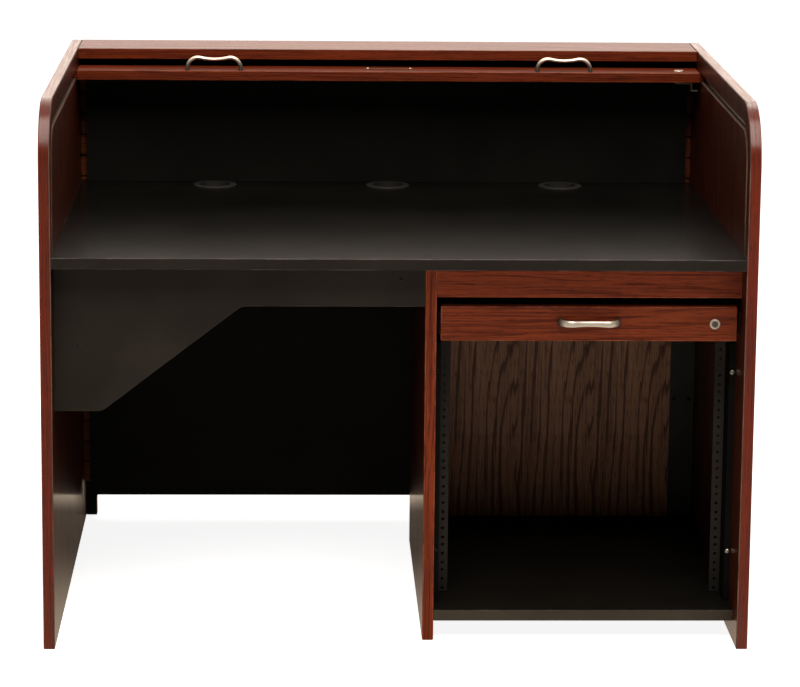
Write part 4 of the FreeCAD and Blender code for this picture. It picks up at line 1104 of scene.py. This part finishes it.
# %% [markdown]
# The cloth behind the hung slats follows the same path a touch further in. It is a strip swept
# along the path, given its thickness with Solidify, and its UV map is laid out in metres so that
# the weave keeps its size round the bend.

# %% The canvas
canvas_low, canvas_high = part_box("tambour_canvas")
CANVAS_THICK = 0.0008
CANVAS_GAP = 0.0002
CANVAS_ROWS = 24


def canvas_mesh():
    """The strip of cloth along the curtain's inner face, and its length."""
    points = hung_path(CANVAS_THICK / 2 + CANVAS_GAP)
    tail = points.pop()
    joint = points[-1]
    for k in range(1, CANVAS_ROWS + 1):
        points.append((0.0, tail[1], joint[2] + (tail[2] - joint[2]) * k / CANVAS_ROWS))
    mesh = bpy.data.meshes.new("tambour_canvas_cloth")
    spots = [(x, p[1], p[2]) for p in points for x in (canvas_low.x, canvas_high.x)]
    rows = len(points) - 1
    mesh.from_pydata(spots, [], [(2 * k, 2 * k + 1, 2 * k + 3, 2 * k + 2) for k in range(rows)])
    along = [0.0]
    for here, there in zip(points, points[1:]):
        along.append(along[-1] + math.dist(here, there))
    layer = mesh.uv_layers.new(name="cloth")
    for loop in mesh.loops:
        layer.data[loop.index].uv = (spots[loop.vertex_index][0], along[loop.vertex_index // 2])
    return mesh, along[-1]


cloth_mesh, cloth_length = canvas_mesh()
cloth_mesh.materials.append(canvas_finish)
cloth = as_piece("tambour_canvas_cloth", cloth_mesh)
wall = cloth.modifiers.new("thickness", "SOLIDIFY")
wall.thickness = CANVAS_THICK
wall.offset = 0.0
bake(cloth)
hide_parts("tambour_canvas")
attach(cloth, "carcass")

# %% [markdown]
# ## The run of slats behind the lead rail
# When the lead rail is pulled forward, slats come over the bend and fill the way behind it. Rigid
# parts can't do that; a blend that moves each point by an eased share of the rail's travel could.
# This run of slats is laid pressed flat behind the rail, out of sight under the top board. The
# slats are placed by solving that eased curve backwards, so that at full travel they would lie one
# pitch apart.

# %% The run behind the lead rail
rail_low, rail_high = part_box("tambour_lead_rail")
rail_joint = next(j for j in frame["joints"] if j["name"] == "tambour_slide")
rail_travel = max(abs(v) for v in rail_joint["range_m"])
RUN_GAP = 0.0006
JUST_SHORT = 0.99999
run_front = rail_high.y + RUN_GAP
run_rear = bend_y - RUN_GAP
pressed = run_rear - run_front
run_length = pressed + rail_travel
run_count = round(run_length / SLAT_PITCH)
run_pitch = run_length / run_count


def share_for(distance):
    """Where in the pressed run a point lies that ends up a distance in front of its rear end."""
    low, high = 0.0, 1.0
    for _ in range(50):
        middle = (low + high) / 2
        reached = middle * pressed + rail_travel * middle * middle * (3 - 2 * middle)
        low, high = (middle, high) if reached < distance else (low, middle)
    return (low + high) / 2


level = bend_z + bend_radius
run_path = [(0.0, run_rear - run_pitch * (k + 0.5), level) for k in range(run_count)]
run = lay_slats(run_path[::-1], run_pitch * JUST_SHORT, "tambour_slats_run")
for spot in run.data.vertices:
    distance = min(max(run_rear - spot.co.y, 0.0), run_length)
    spot.co.y = run_rear - share_for(distance) * pressed
run.data.update()
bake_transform(run)
bpy.data.objects.remove(slat_pattern)
print("run of", run_count, "slats, pressed into %.1f mm" % (1000 * pressed))

# %% [markdown]
# ## Bow handles
# The handles are cast: two feet rise, turn over rounded shoulders and meet in a shallow dip, and
# the bar is slimmer in the middle than at the shoulders. Cutting that from a block is hard work.
# A Geometry Nodes tree sweeps a flattened circle along the bow instead, and a curve over the
# length sets how thick the bar is at each point. The tree also stores how near a foot each point
# is, as painted shade that darkens the feet.

# %% Tree: a bar swept along a bow
SLIM_MIDDLE, SLIM_RANGE = 0.84, (0.05, 0.62)
FOOT_FLARE, FLARE_RANGE = 0.32, (0.72, 1.0)
FOOT_SHADE_STRENGTH, FOOT_SHADE_RANGE = 0.95, (0.62, 0.88)
BAR_SIDES = 20

bow_tree, bow_in, bow_out, bow_inputs = new_geometry_tree("bow_bar", (
    ("Bar Radius", "NodeSocketFloat"), ("Breadth", "NodeSocketFloat"),
    ("Finish", "NodeSocketMaterial")))
along = add(bow_tree, "GeometryNodeSplineParameter").outputs["Factor"]
from_middle = calc(bow_tree, "ABSOLUTE", calc(bow_tree, "MULTIPLY_ADD", along, 2.0, -1.0))
shoulder = eased_step(bow_tree, from_middle, *SLIM_RANGE, SLIM_MIDDLE, 1.0)
flare = eased_step(bow_tree, from_middle, *FLARE_RANGE, 0.0, FOOT_FLARE)
swell = calc(bow_tree, "ADD", shoulder, flare)
sized = add(bow_tree, "GeometryNodeSetCurveRadius", {
    "Curve": bow_in.outputs["Geometry"], "Radius": swell})
ring = add(bow_tree, "GeometryNodeCurvePrimitiveCircle", {
    "Resolution": BAR_SIDES, "Radius": bow_in.outputs["Bar Radius"]}, mode="RADIUS")
oval_size = add(bow_tree, "ShaderNodeCombineXYZ", {0: 1.0, 1: bow_in.outputs["Breadth"], 2: 1.0})
oval = add(bow_tree, "GeometryNodeTransform", {
    "Geometry": ring.outputs[0], "Scale": oval_size.outputs[0]})
# Painted shade that deepens towards the feet.
foot_shade = eased_step(bow_tree, from_middle, *FOOT_SHADE_RANGE, 0.0, FOOT_SHADE_STRENGTH)
marked = add(bow_tree, "GeometryNodeStoreNamedAttribute", {
    "Geometry": sized.outputs[0], "Name": "foot", "Value": foot_shade},
    data_type="FLOAT", domain="POINT")
swept = add(bow_tree, "GeometryNodeCurveToMesh", {
    "Curve": marked.outputs[0], "Profile Curve": oval.outputs[0],
    "Scale": swell, "Fill Caps": True})
smooth = add(bow_tree, "GeometryNodeSetShadeSmooth", {"Geometry": swept.outputs[0]})
real = add(bow_tree, "GeometryNodeRealizeInstances", {"Geometry": smooth.outputs[0]})
painted = add(bow_tree, "GeometryNodeSetMaterial", {
    "Geometry": real.outputs[0], "Material": bow_in.outputs["Finish"]})
bow_tree.links.new(painted.outputs[0], bow_out.inputs[0])
print("tree:", bow_tree.name)

# %% Sweep the three handles
BAR_RADIUS = 0.0033
BAR_BREADTH = 1.70
HANDLE_SPAN = 0.096
SHOULDER = 0.019
DIP = 0.0193
PEAK = 0.0225
SHOULDER_STEPS = 14
DIP_STEPS = 22


def arc_points(centre, radius, begin, end, steps):
    """Points on an arc in the bow's own plane."""
    turn = [begin + (end - begin) * k / steps for k in range(steps + 1)]
    return [(centre[0] + radius * math.cos(a), centre[1] + radius * math.sin(a)) for a in turn]


def bow_line():
    """The bar's middle line from foot to foot: across, and out from the board."""
    rise = PEAK - SHOULDER
    run_in = HANDLE_SPAN / 2 - SHOULDER
    sink = DIP - rise
    sweep = (run_in ** 2 + sink ** 2 - SHOULDER ** 2) / (2 * (SHOULDER - sink))
    centre = DIP + sweep
    lean = math.atan2(run_in, centre - rise)
    left = [(-HANDLE_SPAN / 2, 0.0), (-HANDLE_SPAN / 2, rise * 0.5)]
    left += arc_points((-run_in, rise), SHOULDER, math.pi, math.pi / 2 - lean, SHOULDER_STEPS)
    begin, end = -math.pi / 2 - lean, -math.pi / 2 + lean
    dip = arc_points((0.0, centre), sweep, begin, end, DIP_STEPS)[1:-1]
    right = [(-x, h) for x, h in left[::-1]]
    return left + dip + right


def sweep_handle(node, outward):
    """Sweep a handle where a solid one is; outward is the way it stands off the board."""
    low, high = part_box(node)
    foot = (low + high) / 2
    axis = 2 if outward.z else 1
    foot[axis] = low[axis] if outward[axis] > 0 else high[axis]
    points = [tuple(foot + Vector((x, 0, 0)) + outward * h) for x, h in bow_line()]
    values = {"Bar Radius": BAR_RADIUS, "Breadth": BAR_BREADTH, "Finish": nickel}
    handle = grown_along(points, bow_tree, bow_inputs, values, node + "_cast")
    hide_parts(node)
    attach(handle, body_of_node[node])
    return handle


for node, outward in (
        ("tambour_handle_left", Z), ("tambour_handle_right", Z), ("drawer_handle", -Y)):
    handle = sweep_handle(node, outward)
    spots = [v.co for v in handle.data.vertices]
    spans = [max(s[k] for s in spots) - min(s[k] for s in spots) for k in range(3)]
    print(handle.name, ["%.1f mm" % (1000 * span) for span in spans])

# %% [markdown]
# ## Screws
# Screw heads are the same small shape many times over. A tree puts one head on every point of a
# mesh and turns it to a direction stored on the point, so a list of places is all that each group
# of screws needs. The head is a low dome with a cross cut into it.

# %% Tree: heads on points
head_tree, head_in, head_out, head_inputs = new_geometry_tree("heads_on_points", (
    ("Head", "NodeSocketObject"), ("Size", "NodeSocketFloat"), ("Finish", "NodeSocketMaterial")))
facing = add(head_tree, "GeometryNodeInputNamedAttribute", {
    "Name": "facing"}, data_type="FLOAT_VECTOR")
turn = add(head_tree, "FunctionNodeAlignRotationToVector", {
    "Vector": facing.outputs["Attribute"]}, axis="Z", pivot_axis="AUTO")
model = add(head_tree, "GeometryNodeObjectInfo", {"Object": head_in.outputs["Head"]})
points = add(head_tree, "GeometryNodeMeshToPoints", {"Mesh": head_in.outputs["Geometry"]})
scale = add(head_tree, "ShaderNodeCombineXYZ", {k: head_in.outputs["Size"] for k in range(3)})
laid = add(head_tree, "GeometryNodeInstanceOnPoints", {
    "Points": points.outputs[0], "Instance": model.outputs["Geometry"],
    "Rotation": turn.outputs["Rotation"], "Scale": scale.outputs[0]})
real = add(head_tree, "GeometryNodeRealizeInstances", {"Geometry": laid.outputs[0]})
painted = add(head_tree, "GeometryNodeSetMaterial", {
    "Geometry": real.outputs[0], "Material": head_in.outputs["Finish"]})
head_tree.links.new(painted.outputs[0], head_out.inputs[0])


HEAD_SIDES = 24
HEAD_RINGS = ((1.0, 0.0), (1.0, 0.14), (0.88, 0.34), (0.62, 0.50))
ARM_END, ARM_CORNER = 0.46, 0.16
CROSS_TOP, CROSS_FLOOR, CROSS_TAPER = 0.54, 0.30, 0.75


def ring_points(work, radii, height):
    """A closed loop of points at one height, each at its own radius."""
    turns = [2 * math.pi * k / HEAD_SIDES for k in range(HEAD_SIDES)]
    return [work.verts.new((radius * math.cos(turn), radius * math.sin(turn), height))
            for radius, turn in zip(radii, turns)]


def head_mesh():
    """A domed head one unit in radius, standing on z = 0, with a cross recess."""
    work = bmesh.new()
    arms = [ARM_CORNER if k % 6 in (2, 3, 4) else ARM_END for k in range(HEAD_SIDES)]
    loops = [ring_points(work, [radius] * HEAD_SIDES, height) for radius, height in HEAD_RINGS]
    loops.append(ring_points(work, arms, CROSS_TOP))
    loops.append(ring_points(work, [CROSS_TAPER * arm for arm in arms], CROSS_FLOOR))
    for lower, upper in zip(loops, loops[1:]):
        bridge(work, lower, upper)
    work.faces.new(loops[0][::-1])
    work.faces.new(loops[-1])
    bmesh.ops.recalc_face_normals(work, faces=work.faces)
    return kept_mesh(work, "screw_head_pattern")


head_pattern = as_piece("screw_head_pattern", head_mesh())
print("tree:", head_tree.name)

# %% [markdown]
# Two screws in the front edge of each spacer hold the rails, and three pairs hold each flat strip
# at the back of the bay. Their places are read from the solid heads: every loose group of triangles
# is one head, and its middle is the place. Other small heads hold the bare plate on the lead rail,
# and three sit in the apron over the kneehole.

# %% Screws on the rails
def set_heads(name, places, way, radius, finish, body):
    """A group of screw heads at places, all facing one way."""
    mesh = bpy.data.meshes.new(name)
    mesh.from_pydata(places, [], [])
    layer = mesh.attributes.new("facing", "FLOAT_VECTOR", "POINT")
    for spot in layer.data:
        spot.vector = way
    group = as_piece(name, mesh)
    set_tree(group, head_tree, head_inputs, {
        "Head": head_pattern, "Size": radius, "Finish": finish})
    bake(group)
    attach(group, body)
    return group


def head_places(node):
    """The middle of each solid head's seat, for heads that look to the front."""
    work = welded_copy(node)
    places = []
    left = set(work.verts)
    while left:
        island = [left.pop()]
        for spot in island:
            for edge in spot.link_edges:
                other = edge.other_vert(spot)
                if other in left:
                    left.remove(other)
                    island.append(other)
        wide, deep, high = ([spot.co[k] for spot in island] for k in range(3))
        places.append(((min(wide) + max(wide)) / 2, max(deep), (min(high) + max(high)) / 2))
    work.free()
    return places


HEAD_RADIUS = 0.0040
bay_middle = sum(corner.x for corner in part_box("bay_floor")) / 2
for node, finish in (("rail_screws", screw_steel), ("bay_strip_screws", black_screw)):
    places = head_places(node)
    heads = set_heads(node + "_heads", places, -Y, HEAD_RADIUS, finish, "carcass")
    dress(heads, finish)
    heads.data.materials.append(black_screw)
    for face in heads.data.polygons:
        face.material_index = int(face.center.x < bay_middle)
    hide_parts(node)
    print(heads.name, len(places), "heads")

# %% [markdown]
# ## The bare plate on the lead rail
# A small metal plate lies along the middle of the lead rail. It is a thin strip with rounded
# corners, and nothing is written on it. Its outline is made from four quarter circles, then given
# thickness and a fine bevel.

# %% Plate and its screws
PLATE_LENGTH = 0.090
PLATE_DEPTH = 0.012
PLATE_THICK = 0.0010
PLATE_CORNER, CORNER_STEPS = 0.003, 5
PLATE_EASE, PLATE_EASE_STEPS = 0.0003, 2
PLATE_SCREW_SPREAD = 0.0388
PLATE_SCREW_RADIUS = 0.0027
PLATE_SETBACK = 0.037
plate_middle = Vector((0.0, rail_low.y + PLATE_SETBACK, rail_high.z))


def plate_mesh():
    """A thin strip with rounded corners lying on the rail."""
    outline = []
    for sx, sy, begin in ((1, 1, 0), (-1, 1, 1), (-1, -1, 2), (1, -1, 3)):
        centre = (sx * (PLATE_LENGTH / 2 - PLATE_CORNER), sy * (PLATE_DEPTH / 2 - PLATE_CORNER))
        turn = begin * math.pi / 2
        outline += arc_points(centre, PLATE_CORNER, turn, turn + math.pi / 2, CORNER_STEPS)
    work = bmesh.new()
    under, upper = (
        [work.verts.new(plate_middle + Vector((x, y, h))) for x, y in outline]
        for h in (0.0, PLATE_THICK))
    bridge(work, under, upper)
    work.faces.new(under[::-1])
    work.faces.new(upper)
    rim = [e for e in work.edges if all(v in upper for v in e.verts)]
    bmesh.ops.bevel(work, geom=rim, offset=PLATE_EASE, segments=PLATE_EASE_STEPS, affect="EDGES")
    return kept_mesh(work, "lead_rail_plate")


plate = as_piece("lead_rail_plate", plate_mesh())
dress(plate, plate_metal)
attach(plate, "tambour_lead")
plate_screws = [
    tuple(plate_middle + Vector((side * PLATE_SCREW_SPREAD, 0, PLATE_THICK))) for side in (-1, 1)]
set_heads("lead_rail_plate_screws", plate_screws, Z, PLATE_SCREW_RADIUS, screw_steel,
          "tambour_lead")
print("plate %.0f mm long" % (1000 * PLATE_LENGTH))

# %% Screw heads in the kneehole apron
APRON_HEAD_RADIUS = 0.0030
apron_low, apron_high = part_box("kneehole_apron")
left_line, right_line = apron_low.x + 0.042, apron_high.x - 0.040
apron_places = [
    (across, apron_low.y, apron_low.z + share * (apron_high.z - apron_low.z))
    for across, share in ((left_line, 0.45), (left_line, 0.62), (right_line, 0.90))
]
set_heads("kneehole_apron_screws", apron_places, -Y, APRON_HEAD_RADIUS, rail_paint, "carcass")
bpy.data.objects.remove(head_pattern)
print("apron heads:", len(apron_places))

# %% [markdown]
# ## The end
# The dressed desk must stay the size of its solids.


print("dressing done")
